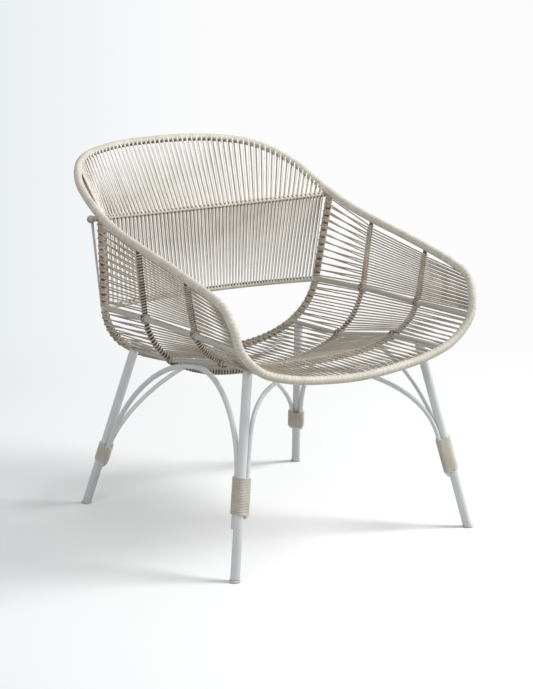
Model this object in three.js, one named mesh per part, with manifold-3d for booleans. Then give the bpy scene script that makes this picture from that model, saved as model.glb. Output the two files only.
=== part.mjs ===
// Round-rimmed lounge chair: a welded tube frame strung with one resin cord per panel.
// Millimetres. +Z is up, the sitter faces -Y, and the origin is on the floor under the middle.

import * as THREE from 'three';
import { mergeVertices } from 'three/addons/utils/BufferGeometryUtils.js';
import Module from 'manifold-3d';

const wasm = await Module();
wasm.setup();

// Clearances, and the overrun that cutting tools have past what they cut
const meshGap = 0.3;
const cordSelfGap = 0.5;
const turnGap = 0.7;
const rimTurnGap = 1.5;
const cutOverrun = 60;

// Rim: one loop that is the arms, the top of the back and the front edge of the seat
const rimHalfWidth = 305;
const rimReach = 373.4;
const rimTopHeight = 776;
const rimFrontHeight = 375;
const rimTubeDiameter = 14;
const rimTubeWall = 1.5;
const rimWrapThickness = 1.5;

// Rear hoop and two ribs that cradle the seat; stations and half widths are those at the shoulder
// Rises and drops are heights above and below the front edge of the rim
const hoopShoulderRise = 105;
const hoopStation = 155.8;
const hoopLean = -0.125;
const hoopShoulderHalf = 281.8;
const hoopFloorDrop = 54;
const hoopSquareness = 2.65;
const hoopTubeDiameter = 13;
const hoopTubeWall = 1.5;
const ribShoulderRise = 115;
const middleRibForward = 14;
const middleRibLean = -0.03;
const middleRibShoulderHalf = 286.5;
const middleRibFloorDrop = 56;
const middleRibSquareness = 2.55;
const frontRibForward = 203.5;
const frontRibLean = 0.01;
const frontRibShoulderHalf = 289;
const frontRibFloorDrop = 3;
const frontRibSquareness = 2.75;
const ribRodDiameter = 7.6;
const cradleWrapThickness = 1.4;

// Rails
const sideRailHoopRise = 82;
const sideRailRise = 89;
const sideRailDiameter = 12.5;
const sideRailWall = 1.5;
const seatRailHalfSpacing = 218;
const seatRailDiameter = 10;
const backRailDiameter = 9;
const midBackRailOverhang = 22;
const lowBackRailBow = 39;

// Legs and glides
const frontFootHalf = 300;
const frontFootReach = 366.5;
const rearFootHalf = 286;
const rearFootReach = 244.6;
const frontLegTopReach = 292.5;
const rearLegTopReach = 141;
const legDiameter = 19.5;
const legWall = 1.6;
const glideThickness = 4;
const glideLip = 1.8;
const glidePlugLength = 22;
const glidePlugClearance = 0.3;

// Arched braces
const sideArchDiameter = 11;
const crossArchDiameter = 9.5;
const archWall = 1.5;
const sideArchApexReach = 123;
const sideArchRearSquareness = 2.02;
const sideArchFrontSquareness = 1.88;
const rearArchSquareness = 1.63;
const frontArchSquareness = 2.32;
const frontArchHighSquareness = 2.8;
const frontArchHighSpring = 252;
const archTail = 6;
const longArchTail = 27;
const mediumArchTail = 15;

// Cord windings that bind the arches to the legs
const bindingCordDiameter = 3.8;
const frontBindingHeight = 126;
const frontBindingTurns = 18;
const rearBindingHeight = 104;
const rearBindingTurns = 10;
const bindingSides = 6;

// Strung panels
const cordDiameter = 3.8;
const armStrands = 22;
const flankStrands = 14;
const seatStrands = 60;
const upperBackStrands = 56;
const upperBackInset = 26;
const upperBackSwayShare = 0.5;
const upperBackLeftReachShare = 0.7;
const lowerBackStrands = 60;
const lowerBackInset = 14;
const pairShift = 1;
const panelMargin = 1.6;
const armDrop = 5;

// Sizes that follow
const half = (size) => size / 2;
const rimWrapRadius = half(rimTubeDiameter) + meshGap + rimWrapThickness;
const hoopWrapRadius = half(hoopTubeDiameter) + meshGap + cradleWrapThickness;
const ribWrapRadius = half(ribRodDiameter) + meshGap + cradleWrapThickness;
const backRailWrapRadius = half(backRailDiameter) + meshGap + cradleWrapThickness;
const cordRadius = half(cordDiameter);

// Facets and steps along tubes
const tubeSides = 8;
const rodSides = 6;
const cordSides = 4;
const rimSteps = 19;
const cradleSteps = 9;
const archSteps = 16;
const lowBackSteps = 6;
const surveySteps = 1000;
const settlingPasses = 6;
const tangentReach = 12;
const up = new THREE.Vector3(0, 0, 1);
const rearwards = new THREE.Vector3(0, 1, 0);
const sideways = new THREE.Vector3(1, 0, 0);

// Materials
const paintMaterial = new THREE.MeshStandardMaterial({ color: 0xcfd6d6, roughness: 0.42, metalness: 0.1 });
const rimCordMaterial = new THREE.MeshStandardMaterial({ color: 0xe6e0d2, roughness: 0.7, metalness: 0 });
const cordMaterial = new THREE.MeshStandardMaterial({ color: 0xb7a893, roughness: 0.75, metalness: 0 });
const glideMaterial = new THREE.MeshStandardMaterial({ color: 0x9a8a76, roughness: 0.6, metalness: 0 });

const chair = new THREE.Group();

function addPart(name, geometry, material) {
  const mesh = new THREE.Mesh(geometry, material);
  mesh.name = name;
  chair.add(mesh);
  return mesh;
}

function point(x, y, z) {
  return new THREE.Vector3(x, y, z);
}

function mirrored(list, side) {
  return list.map((p) => point(side * p.x, p.y, p.z));
}

// A regular outline, counter-clockwise, whose corners lie on a circle
function ringOutline(radius, sides) {
  return Array.from({ length: sides }, (_, k) => {
    const angle = (2 * Math.PI * (k + 1 / 2)) / sides;
    return [radius * Math.cos(angle), radius * Math.sin(angle)];
  });
}

// Carries an outline along a route with mitred joints, so each straight run keeps its true section
function carryOutline(route, outline, reference) {
  const first = route[1].clone().sub(route[0]).normalize();
  const across = new THREE.Vector3().crossVectors(reference, first).normalize();
  const upward = new THREE.Vector3().crossVectors(first, across);
  const start = outline.map(([a, b]) => route[0].clone().addScaledVector(across, a).addScaledVector(upward, b));
  const rings = [start];
  for (let k = 1; k < route.length; k += 1) {
    const into = route[k].clone().sub(route[k - 1]).normalize();
    const out = k + 1 < route.length ? route[k + 1].clone().sub(route[k]).normalize() : into;
    const mitre = into.clone().add(out).normalize();
    const lean = into.dot(mitre);
    rings.push(rings[k - 1].map((p) => {
      const run = route[k].clone().sub(p).dot(mitre) / lean;
      return p.clone().addScaledVector(into, run);
    }));
  }
  return rings;
}

// Sews rings of equal count into a closed body; bore rings, where given, leave it open along its middle
function sewBody(rings, boreRings) {
  const positions = [];
  const indices = [];
  const count = rings[0].length;
  const push = (set) => set.forEach((ring) => ring.forEach((p) => positions.push(p.x, p.y, p.z)));
  push(rings);
  const bore = rings.length * count;
  if (boreRings) push(boreRings);
  const quad = (a, b, c, d) => indices.push(a, b, c, a, c, d);
  const last = (rings.length - 1) * count;
  for (let j = 0; j < count; j += 1) {
    const n = (j + 1) % count;
    for (let k = 0; k + 1 < rings.length; k += 1) {
      const low = k * count;
      const high = low + count;
      quad(low + j, low + n, high + n, high + j);
      if (boreRings) quad(bore + low + n, bore + low + j, bore + high + j, bore + high + n);
    }
    if (boreRings) {
      quad(n, j, bore + j, bore + n);
      quad(last + j, last + n, bore + last + n, bore + last + j);
    } else if (j > 0 && j + 1 < count) {
      indices.push(0, n, j, last, last + j, last + n);
    }
  }
  const geometry = new THREE.BufferGeometry();
  geometry.setAttribute('position', new THREE.Float32BufferAttribute(positions, 3));
  geometry.setIndex(indices);
  return geometry;
}

function tube(route, radius, sides, boreRadius = 0, reference = up) {
  const rings = carryOutline(route, ringOutline(radius, sides), reference);
  if (boreRadius === 0) return sewBody(rings);
  return sewBody(rings, carryOutline(route, ringOutline(boreRadius, sides), reference));
}

function toSolid(geometry) {
  const bare = geometry.clone();
  bare.deleteAttribute('normal');
  bare.deleteAttribute('uv');
  const merged = mergeVertices(bare);
  return new wasm.Manifold(new wasm.Mesh({
    numProp: 3,
    vertProperties: new Float32Array(merged.attributes.position.array),
    triVerts: new Uint32Array(merged.index.array),
  }));
}

function toGeometry(solid) {
  const mesh = solid.getMesh();
  const geometry = new THREE.BufferGeometry();
  geometry.setAttribute('position', new THREE.BufferAttribute(new Float32Array(mesh.vertProperties), 3));
  geometry.setIndex(Array.from(mesh.triVerts));
  return geometry;
}

// Cuts a geometry by several solids
function cutBy(geometry, tools) {
  return toGeometry(tools.reduce((solid, tool) => solid.subtract(tool), toSolid(geometry)));
}

// Least air between a cord and itself, from the distances between its runs that don't touch end to end
function leastSelfGap(route, diameter) {
  const line = new THREE.Line3();
  const other = new THREE.Line3();
  const spot = new THREE.Vector3();
  let least = Infinity;
  const nearest = (a, b, p) => line.set(a, b).closestPointToPoint(p, true, spot).distanceTo(p);
  for (let i = 0; i + 1 < route.length; i += 1) {
    for (let j = i + 2; j + 1 < route.length; j += 1) {
      other.set(route[j], route[j + 1]);
      least = Math.min(
        least,
        nearest(route[i], route[i + 1], route[j]),
        nearest(route[i], route[i + 1], route[j + 1]),
        nearest(route[j], route[j + 1], route[i]),
        nearest(route[j], route[j + 1], route[i + 1]),
      );
    }
  }
  return least - diameter;
}

function addCord(name, route, diameter, sides, reference) {
  addPart(name, tube(route, half(diameter), sides, 0, reference), cordMaterial);
  console.log(`${name}: least gap to itself ${leastSelfGap(route, diameter).toFixed(2)} mm`);
}

// Rim route: shares of half width, of reach towards the rear, and of the height above the front edge
const rimRouteShares = [
  [0, 1, 1],
  [0.438, 0.975, 0.988],
  [0.751, 0.882, 0.944],
  [0.915, 0.697, 0.858],
  [0.969, 0.459, 0.748],
  [0.987, 0.202, 0.662],
  [0.99, -0.052, 0.607],
  [0.995, -0.344, 0.556],
  [1, -0.569, 0.512],
  [1, -0.799, 0.461],
  [0.998, -0.915, 0.419],
  [0.979, -0.975, 0.329],
  [0.949, -0.997, 0.228],
  [0.885, -1, 0.163],
  [0.767, -1, 0.094],
  [0.59, -1, 0.049],
  [0.393, -1, 0.022],
  [0, -1, 0],
];

// A route of straight runs that can be asked for the place at a length along it
class Polyline {
  constructor(points) {
    this.points = points;
    this.lengths = [0];
    points.slice(1).forEach((p, k) => this.lengths.push(this.lengths[k] + p.distanceTo(points[k])));
    this.length = this.lengths[points.length - 1];
  }

  // The end of the run that holds a length
  runEnd(length) {
    return Math.max(this.lengths.findIndex((l) => l >= length), 1);
  }

  pointAt(length) {
    const k = this.runEnd(length);
    const between = (length - this.lengths[k - 1]) / (this.lengths[k] - this.lengths[k - 1]);
    return this.points[k - 1].clone().lerp(this.points[k], between);
  }

  // Direction over a short stretch, so that it changes smoothly from run to run
  tangentAt(length) {
    const ahead = this.pointAt(Math.min(length + tangentReach, this.length));
    return ahead.sub(this.pointAt(Math.max(length - tangentReach, 0))).normalize();
  }

  // The first length whose point passes a test
  lengthWhere(test) {
    const step = this.length / surveySteps;
    return step * Array.from({ length: surveySteps }).findIndex((_, k) => test(this.pointAt(k * step)));
  }
}

// Picks a few of a smooth route's many points, spaced by how far the route has run and turned
function stationsOf(points, steps) {
  const runs = points.slice(1).map((p, k) => p.clone().sub(points[k]));
  const whole = runs.reduce((sum, run) => sum + run.length(), 0);
  const turns = runs.map((run, k) => (k === 0 ? 0 : run.angleTo(runs[k - 1])));
  const turned = turns.reduce((sum, turn) => sum + turn, 0);
  const passed = [0];
  runs.forEach((run, k) => passed.push(passed[k] + half(run.length() / whole + turns[k] / turned)));
  return Array.from({ length: steps }, (_, k) => points[passed.findIndex((share) => share >= k / steps)])
    .concat(points[points.length - 1]);
}

// Half of the rim, from the top of the back down the right arm to the middle of the front edge
const rimHalf = (() => {
  const place = ([across, along, rise], side) => point(
    side * across * rimHalfWidth,
    along * rimReach,
    rimFrontHeight + rise * (rimTopHeight - rimFrontHeight),
  );
  const right = rimRouteShares.map((shares) => place(shares, 1));
  const left = rimRouteShares.slice(1, -1).reverse().map((shares) => place(shares, -1));
  const curve = new THREE.CatmullRomCurve3([...right, ...left], true, 'centripetal');
  const smooth = curve.getSpacedPoints(2 * surveySteps).slice(0, surveySteps + 1);
  return new Polyline(stationsOf(smooth, rimSteps));
})();

// The whole rim, by signed length from the top of the back, past the front middle too
function rimPoint(length) {
  if (length < 0) return mirrored([rimPoint(-length)], -1)[0];
  if (length > rimHalf.length) return mirrored([rimPoint(2 * rimHalf.length - length)], -1)[0];
  return rimHalf.pointAt(length);
}

function rimTangent(length) {
  if (length < 0 || length > rimHalf.length) {
    const twin = length < 0 ? -length : 2 * rimHalf.length - length;
    const [t] = mirrored([rimHalf.tangentAt(twin)], -1);
    return t.negate();
  }
  return rimHalf.tangentAt(length);
}

// A hoop or rib: the lower half of a superellipse, then straight flared sides up to the rim
class Cradle {
  constructor({ station, lean, shoulderHeight, shoulderHalf, floorHeight, squareness, wrapRadius, sides }) {
    const along = (height) => station + lean * (height - shoulderHeight);
    this.plane = point(0, 1, -lean).normalize();
    this.wrapRadius = wrapRadius;
    this.sides = sides;
    this.rimLength = rimHalf.lengthWhere((at) => at.y <= along(at.z));
    this.top = rimPoint(this.rimLength);
    const flare = (this.top.x - shoulderHalf) / (this.top.z - shoulderHeight);
    const power = 2 / squareness;
    const smooth = Array.from({ length: surveySteps + 1 }, (_, k) => {
      const angle = half(Math.PI) * (k / surveySteps);
      const z = shoulderHeight - (shoulderHeight - floorHeight) * Math.abs(Math.cos(angle)) ** power;
      const x = (shoulderHalf + flare * (z - shoulderHeight)) * Math.sin(angle) ** power;
      return point(x, along(z), z);
    });
    this.half = new Polyline([...stationsOf(smooth, cradleSteps), this.top]);
    this.length = this.half.length;
    this.route = [...mirrored(this.half.points.slice(1), -1).reverse(), ...this.half.points];
  }

  // Point at a length from the middle of the seat, negative towards the left
  pointAt(length) {
    const p = this.half.pointAt(Math.abs(length));
    return length < 0 ? mirrored([p], -1)[0] : p;
  }

  tangentAt(length) {
    const t = this.half.tangentAt(Math.abs(length));
    return length < 0 ? mirrored([t], -1)[0].negate() : t;
  }

  // Square to the cradle and within its own leaning plane, towards the sitter
  sitterwardAt(length) {
    return new THREE.Vector3().crossVectors(this.tangentAt(length), this.plane).normalize();
  }

  tube(radius, boreRadius = 0) {
    return tube(this.route, radius, this.sides, boreRadius, this.plane);
  }
}

const hoop = new Cradle({
  station: hoopStation,
  lean: hoopLean,
  shoulderHeight: rimFrontHeight + hoopShoulderRise,
  shoulderHalf: hoopShoulderHalf,
  floorHeight: rimFrontHeight - hoopFloorDrop,
  squareness: hoopSquareness,
  wrapRadius: hoopWrapRadius,
  sides: tubeSides,
});
const middleRib = new Cradle({
  station: -middleRibForward,
  lean: middleRibLean,
  shoulderHeight: rimFrontHeight + ribShoulderRise,
  shoulderHalf: middleRibShoulderHalf,
  floorHeight: rimFrontHeight - middleRibFloorDrop,
  squareness: middleRibSquareness,
  wrapRadius: ribWrapRadius,
  sides: rodSides,
});
const frontRib = new Cradle({
  station: -frontRibForward,
  lean: frontRibLean,
  shoulderHeight: rimFrontHeight + ribShoulderRise,
  shoulderHalf: frontRibShoulderHalf,
  floorHeight: rimFrontHeight - frontRibFloorDrop,
  squareness: frontRibSquareness,
  wrapRadius: ribWrapRadius,
  sides: rodSides,
});
const cradles = [hoop, middleRib, frontRib];

// Rim tube and wrap, as a loop with one butt joint half way along a run of the left arm
const rimRoute = (() => {
  const left = mirrored(rimHalf.points.slice(1, -1), -1);
  const joint = left.findIndex((p) => p.y < half(hoopStation));
  const [behind, ahead] = [left[joint - 1], left[joint]];
  const middle = behind.clone().lerp(ahead, 1 / 2);
  const step = ahead.clone().sub(behind).setLength(half(meshGap));
  return [
    middle.clone().sub(step),
    ...left.slice(0, joint).reverse(),
    ...rimHalf.points,
    ...left.slice(joint).reverse(),
    middle.add(step),
  ];
})();

function rimTube(radius, boreRadius) {
  return tube(rimRoute, radius, tubeSides, boreRadius);
}

const rimEnvelope = toSolid(rimTube(rimWrapRadius + meshGap, 0));
const rimRadius = half(rimTubeDiameter);
addPart('rim_tube', rimTube(rimRadius, rimRadius - rimTubeWall), paintMaterial);
addPart('rim_cord_wrap', rimTube(rimWrapRadius, rimRadius + meshGap), rimCordMaterial);

// Hoop and ribs, coped to the underside of the rim
const hoopRadius = half(hoopTubeDiameter);
const hoopTube = hoop.tube(hoopRadius, hoopRadius - hoopTubeWall);
const hoopWrap = hoop.tube(hoopWrapRadius, hoopRadius + meshGap);
addPart('rear_hoop_tube', cutBy(hoopTube, [rimEnvelope]), paintMaterial);
addPart('rear_hoop_cord_wrap', cutBy(hoopWrap, [rimEnvelope]), cordMaterial);
[['middle_rib', middleRib], ['front_rib', frontRib]].forEach(([name, rib]) => {
  const radius = half(ribRodDiameter);
  addPart(`${name}_rod`, cutBy(rib.tube(radius), [rimEnvelope]), paintMaterial);
  addPart(`${name}_cord_wrap`, cutBy(rib.tube(ribWrapRadius, radius + meshGap), [rimEnvelope]), cordMaterial);
});
const cradleEnvelopes = cradles.map((cradle) => toSolid(cradle.tube(cradle.wrapRadius + meshGap)));

// Side rails: one tube a bay, coped to the cradles and to the rim
const sideRailHeight = rimFrontHeight + sideRailRise;
const sideHeights = [rimFrontHeight + sideRailHoopRise, sideRailHeight, sideRailHeight];
const sideLengths = cradles.map((cradle, k) => cradle.half.lengthWhere((p) => p.z >= sideHeights[k]));
const sideRimLength = rimHalf.lengthWhere((p) => p.y < -frontRibForward && p.z <= sideRailHeight);
const sideNodes = [...cradles.map((cradle, k) => cradle.pointAt(sideLengths[k])), rimPoint(sideRimLength)];

// Seat rails: a pair of rods under the corners of the seat, which the legs are welded to
const seatLengths = cradles.map((cradle) => cradle.half.lengthWhere((p) => p.x >= seatRailHalfSpacing));
const seatRimLength = rimHalf.lengthWhere((p) => p.y < -frontRibForward && p.x <= seatRailHalfSpacing);
const seatNodes = [...cradles.map((cradle, k) => cradle.pointAt(seatLengths[k])), rimPoint(seatRimLength)];

// A rail's run across one bay, kept off its neighbours' ends
function bayRoute(from, to, side) {
  const trim = to.clone().sub(from).setLength(half(meshGap));
  return mirrored([from.clone().add(trim), to.clone().sub(trim)], side);
}

const bayNames = ['rear', 'middle', 'front'];
const bayTools = [...cradleEnvelopes, rimEnvelope];
const seatRailEnvelopes = [];
[['left', -1], ['right', 1]].forEach(([sideName, side]) => {
  bayNames.forEach((bay, k) => {
    const tools = [bayTools[k], bayTools[k + 1]];
    const radius = half(sideRailDiameter);
    const sideRoute = bayRoute(sideNodes[k], sideNodes[k + 1], side);
    const sideRail = tube(sideRoute, radius, rodSides, radius - sideRailWall);
    addPart(`${sideName}_side_rail_${bay}`, cutBy(sideRail, tools), paintMaterial);
    const seatRoute = bayRoute(seatNodes[k], seatNodes[k + 1], side);
    seatRailEnvelopes.push(toSolid(tube(seatRoute, half(seatRailDiameter) + meshGap, rodSides)));
    addPart(
      `${sideName}_seat_rail_${bay}`,
      cutBy(tube(seatRoute, half(seatRailDiameter), rodSides), tools),
      paintMaterial,
    );
  });
});

// Mid back rail: passes behind the hoop and is saddled under the rim, with its ends left proud
const midBackRail = (() => {
  const tangent = rimTangent(hoop.rimLength);
  const y = hoop.top.y + hoopWrapRadius + meshGap + backRailWrapRadius;
  const rimZ = hoop.top.z + ((y - hoop.top.y) * tangent.z) / tangent.y;
  const slopeCosine = Math.abs(tangent.y) / Math.hypot(tangent.y, tangent.z);
  const drop = (rimRadius + half(backRailDiameter)) / slopeCosine;
  return point(hoop.top.x + midBackRailOverhang, y, rimZ - drop);
})();

// Lower back rail: bows to the rear between the two sides of the hoop
const lowBackHalf = sideNodes[0].x;
function lowBackPoint(x) {
  const share = 1 - (x / lowBackHalf) ** 2;
  return point(x, sideNodes[0].y + lowBackRailBow * share, sideNodes[0].z);
}

const midBackRoute = [...mirrored([midBackRail], -1), midBackRail];
const lowBackRoute = Array.from({ length: lowBackSteps + 1 }, (_, k) => (
  lowBackPoint(THREE.MathUtils.lerp(-lowBackHalf, lowBackHalf, k / lowBackSteps))
));
[
  ['mid_back_rail', midBackRoute, rimEnvelope],
  ['lower_back_rail', lowBackRoute, cradleEnvelopes[0]],
].forEach(([name, route, tool]) => {
  const radius = half(backRailDiameter);
  addPart(`${name}_rod`, cutBy(tube(route, radius, rodSides), [tool]), paintMaterial);
  addPart(
    `${name}_cord_wrap`,
    cutBy(tube(route, backRailWrapRadius, rodSides, radius + meshGap), [tool]),
    cordMaterial,
  );
});

// Legs: each splays from a foot to the underside of a seat rail
function seatRailPoint(y) {
  const k = seatNodes.findIndex((node) => node.y < y);
  const between = (y - seatNodes[k - 1].y) / (seatNodes[k].y - seatNodes[k - 1].y);
  return seatNodes[k - 1].clone().lerp(seatNodes[k], between);
}

class Leg {
  constructor(name, side, footHalf, footY, topY, bindingHeight, bindingTurns) {
    this.name = name;
    this.side = side;
    const railDrop = half(seatRailDiameter) + meshGap;
    const top = seatRailPoint(topY);
    this.top = mirrored([top.setZ(top.z - railDrop)], side)[0];
    this.foot = point(side * footHalf, footY, 0);
    this.axis = this.top.clone().sub(this.foot).normalize();
    this.inward = this.square(point(-side, 0, 0));
    this.lengthwise = this.square(point(0, -Math.sign(footY), 0));
    this.bindingHeight = bindingHeight;
    this.bindingTurns = bindingTurns;
    this.bindingPitch = bindingCordDiameter + cordSelfGap;
    this.bindingTop = bindingHeight + bindingTurns * this.bindingPitch * this.axis.z;
  }

  // A level direction made square to the leg
  square(direction) {
    return direction.clone().addScaledVector(this.axis, -direction.dot(this.axis)).normalize();
  }

  atHeight(height) {
    return this.foot.clone().addScaledVector(this.axis, height / this.axis.z);
  }

  // Centre of a brace that lies along the leg, towards the leg on the same side or inwards
  bracePoint(height, diameter, direction) {
    return this.atHeight(height).addScaledVector(direction, half(legDiameter) + meshGap + half(diameter));
  }

  sideBracePoint(height) {
    return this.bracePoint(height, sideArchDiameter, this.lengthwise);
  }

  crossBracePoint(height) {
    return this.bracePoint(height, crossArchDiameter, this.inward);
  }
}

const legSides = 12;
const frontTopY = -frontLegTopReach;
const legs = [
  new Leg('front_left', -1, frontFootHalf, -frontFootReach, frontTopY, frontBindingHeight, frontBindingTurns),
  new Leg('front_right', 1, frontFootHalf, -frontFootReach, frontTopY, frontBindingHeight, frontBindingTurns),
  new Leg('rear_left', -1, rearFootHalf, rearFootReach, rearLegTopReach, rearBindingHeight, rearBindingTurns),
  new Leg('rear_right', 1, rearFootHalf, rearFootReach, rearLegTopReach, rearBindingHeight, rearBindingTurns),
];

// A slab that trims everything on one side of a height, wide enough for the whole chair
function slab(low, high, centre) {
  const box = new THREE.BoxGeometry(cutOverrun, cutOverrun, high - low);
  box.translate(centre.x, centre.y, half(low + high));
  return toSolid(box);
}

legs.forEach((leg) => {
  const long = half(cutOverrun);
  const route = [
    leg.foot.clone().addScaledVector(leg.axis, -half(long)),
    leg.top.clone().addScaledVector(leg.axis, half(long)),
  ];
  const boreRadius = half(legDiameter) - legWall;
  const legFloor = glideThickness + meshGap;
  const body = tube(route, half(legDiameter), legSides, boreRadius, leg.inward);
  const ends = [slab(-cutOverrun, legFloor, leg.foot), slab(leg.top.z, leg.top.z + cutOverrun, leg.top)];
  addPart(`${leg.name}_leg_tube`, cutBy(body, [...ends, ...seatRailEnvelopes]), paintMaterial);
  const discRadius = half(legDiameter) + glideLip;
  const disc = new THREE.CylinderGeometry(discRadius, discRadius, glideThickness, 2 * tubeSides);
  disc.rotateX(half(Math.PI));
  disc.translate(leg.foot.x, leg.foot.y, half(glideThickness));
  const plugRoute = [leg.foot.clone(), leg.atHeight(glideThickness + glidePlugLength)];
  const plug = cutBy(
    tube(plugRoute, boreRadius - glidePlugClearance, legSides, 0, leg.inward),
    [slab(-cutOverrun, half(glideThickness), leg.foot)],
  );
  addPart(`${leg.name}_glide`, toGeometry(toSolid(disc).add(toSolid(plug))), glideMaterial);
});

// Arched braces: each springs along two legs, is level at its apex, and leans without a kink there
function archQuarter(spring, axis, apex, squareness, leanAxis) {
  const climb = axis.clone().multiplyScalar((apex.z - spring.z) / axis.z);
  const across = apex.clone().sub(spring).sub(climb);
  const lean = leanAxis.clone().multiplyScalar(across.dot(leanAxis));
  across.sub(lean);
  return Array.from({ length: surveySteps }, (_, k) => {
    const angle = (k / surveySteps) * half(Math.PI);
    const power = 2 / squareness;
    const left = Math.cos(angle) ** power;
    return spring.clone()
      .addScaledVector(across, 1 - left)
      .addScaledVector(lean, 1 - left ** 2)
      .addScaledVector(climb, Math.sin(angle) ** power);
  });
}

function archRoute(ends, apex, leanAxis) {
  const halves = ends.map(({ leg, brace, spring, squareness }) => (
    archQuarter(leg[brace](spring), leg.axis, apex, squareness, leanAxis)
  ));
  const feet = ends.map(({ leg, brace, tail }) => leg[brace](leg.bindingHeight - tail));
  return [feet[0], ...stationsOf([...halves[0], apex, ...halves[1].reverse()], archSteps), feet[1]];
}

function addArch(name, diameter, ends, apex, leanAxis) {
  const radius = half(diameter);
  const route = archRoute(ends, apex, leanAxis);
  addPart(name, tube(route, radius, rodSides, radius - archWall, leanAxis), paintMaterial);
}

// Raises or lowers an apex until its arch lies just under a straight rail
function settledApex(ends, apex, leanAxis, rail, spacing) {
  const settled = apex.clone();
  const spot = new THREE.Vector3();
  for (let pass = 0; pass < settlingPasses; pass += 1) {
    const route = archRoute(ends, settled, leanAxis);
    const distances = route.map((p) => rail.closestPointToPoint(p, true, spot).distanceTo(p));
    settled.z -= spacing - Math.min(...distances);
  }
  return settled;
}

const [frontLeft, frontRight, rearLeft, rearRight] = legs;
const sideApexDrop = half(seatRailDiameter) + meshGap + half(sideArchDiameter);
[[frontLeft, rearLeft, 'left', longArchTail], [frontRight, rearRight, 'right', mediumArchTail]].forEach(
  ([front, rear, sideName, frontTail]) => {
    const brace = 'sideBracePoint';
    const ends = [
      { brace, leg: rear, spring: rear.bindingTop, squareness: sideArchRearSquareness, tail: archTail },
      { brace, leg: front, spring: front.bindingTop, squareness: sideArchFrontSquareness, tail: frontTail },
    ];
    const [apex] = mirrored([seatRailPoint(-sideArchApexReach).addScaledVector(up, -sideApexDrop)], front.side);
    const rail = new THREE.Line3(...mirrored([seatNodes[1], seatNodes[2]], front.side));
    const settled = settledApex(ends, apex, sideways, rail, sideApexDrop);
    addArch(`${sideName}_side_arch_brace`, sideArchDiameter, ends, settled, sideways);
  },
);
const crossEnd = { brace: 'crossBracePoint', tail: archTail };
const frontApexDrop = ribWrapRadius + 2 * turnGap + cordDiameter + half(crossArchDiameter);
addArch(
  'front_arch_brace',
  crossArchDiameter,
  [
    { ...crossEnd, leg: frontLeft, spring: frontArchHighSpring, squareness: frontArchHighSquareness },
    { ...crossEnd, leg: frontRight, spring: frontRight.bindingTop, squareness: frontArchSquareness },
  ],
  frontRib.pointAt(0).addScaledVector(up, -frontApexDrop),
  rearwards,
);
addArch(
  'rear_arch_brace',
  crossArchDiameter,
  [rearLeft, rearRight].map((leg) => (
    { ...crossEnd, leg, spring: leg.bindingTop, squareness: rearArchSquareness }
  )),
  hoop.pointAt(0).addScaledVector(up, -(hoopWrapRadius + meshGap + half(crossArchDiameter))),
  rearwards,
);

// Bindings: one cord climbing round a leg and its two braces, along their shared outline
function bindingRoute(leg) {
  const clear = meshGap + half(bindingCordDiameter);
  const legEdge = half(legDiameter) + meshGap;
  const sideRadius = half(sideArchDiameter);
  const crossRadius = half(crossArchDiameter);
  const circles = [
    { along: 0, inward: 0, radius: half(legDiameter) + clear },
    { along: legEdge + sideRadius, inward: 0, radius: sideRadius + clear },
    { along: 0, inward: legEdge + crossRadius, radius: crossRadius + clear },
  ];
  const support = Array.from({ length: bindingSides }, (_, k) => {
    const angle = (2 * Math.PI * (k + 1 / 2)) / bindingSides;
    const normal = [Math.cos(angle), Math.sin(angle)];
    const reach = Math.max(...circles.map((c) => c.along * normal[0] + c.inward * normal[1] + c.radius));
    return { normal, reach };
  });
  const corners = support.map((a, k) => {
    const b = support[(k + 1) % bindingSides];
    const turn = a.normal[0] * b.normal[1] - a.normal[1] * b.normal[0];
    return [
      (a.reach * b.normal[1] - b.reach * a.normal[1]) / turn,
      (b.reach * a.normal[0] - a.reach * b.normal[0]) / turn,
    ];
  });
  const start = leg.atHeight(leg.bindingHeight);
  return Array.from({ length: leg.bindingTurns * bindingSides + 1 }, (_, k) => {
    const [along, inward] = corners[k % bindingSides];
    return start.clone()
      .addScaledVector(leg.lengthwise, along)
      .addScaledVector(leg.inward, inward)
      .addScaledVector(leg.axis, (k / bindingSides) * leg.bindingPitch);
  });
}

legs.forEach((leg) => {
  addCord(`${leg.name}_leg_cord_binding`, bindingRoute(leg), bindingCordDiameter, cordSides, leg.axis);
});

// Strung panels: one cord to and fro, turning round what it is strung on
function serpentine(count, strandPoints) {
  return Array.from({ length: count }, (_, k) => {
    const points = strandPoints(k);
    return k % 2 === 0 ? points : points.reverse();
  }).flat();
}

// The end of a strand, clear of a tube that it turns round
function turnPoint(centre, tangent, towards, radius, gap = turnGap) {
  const inward = towards.clone().sub(centre);
  inward.addScaledVector(tangent, -inward.dot(tangent)).normalize();
  return centre.clone().addScaledVector(inward, radius + gap + cordRadius);
}

function rimTurnPoint(length, towards) {
  return turnPoint(rimPoint(length), rimTangent(length), towards, rimWrapRadius, rimTurnGap);
}

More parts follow.
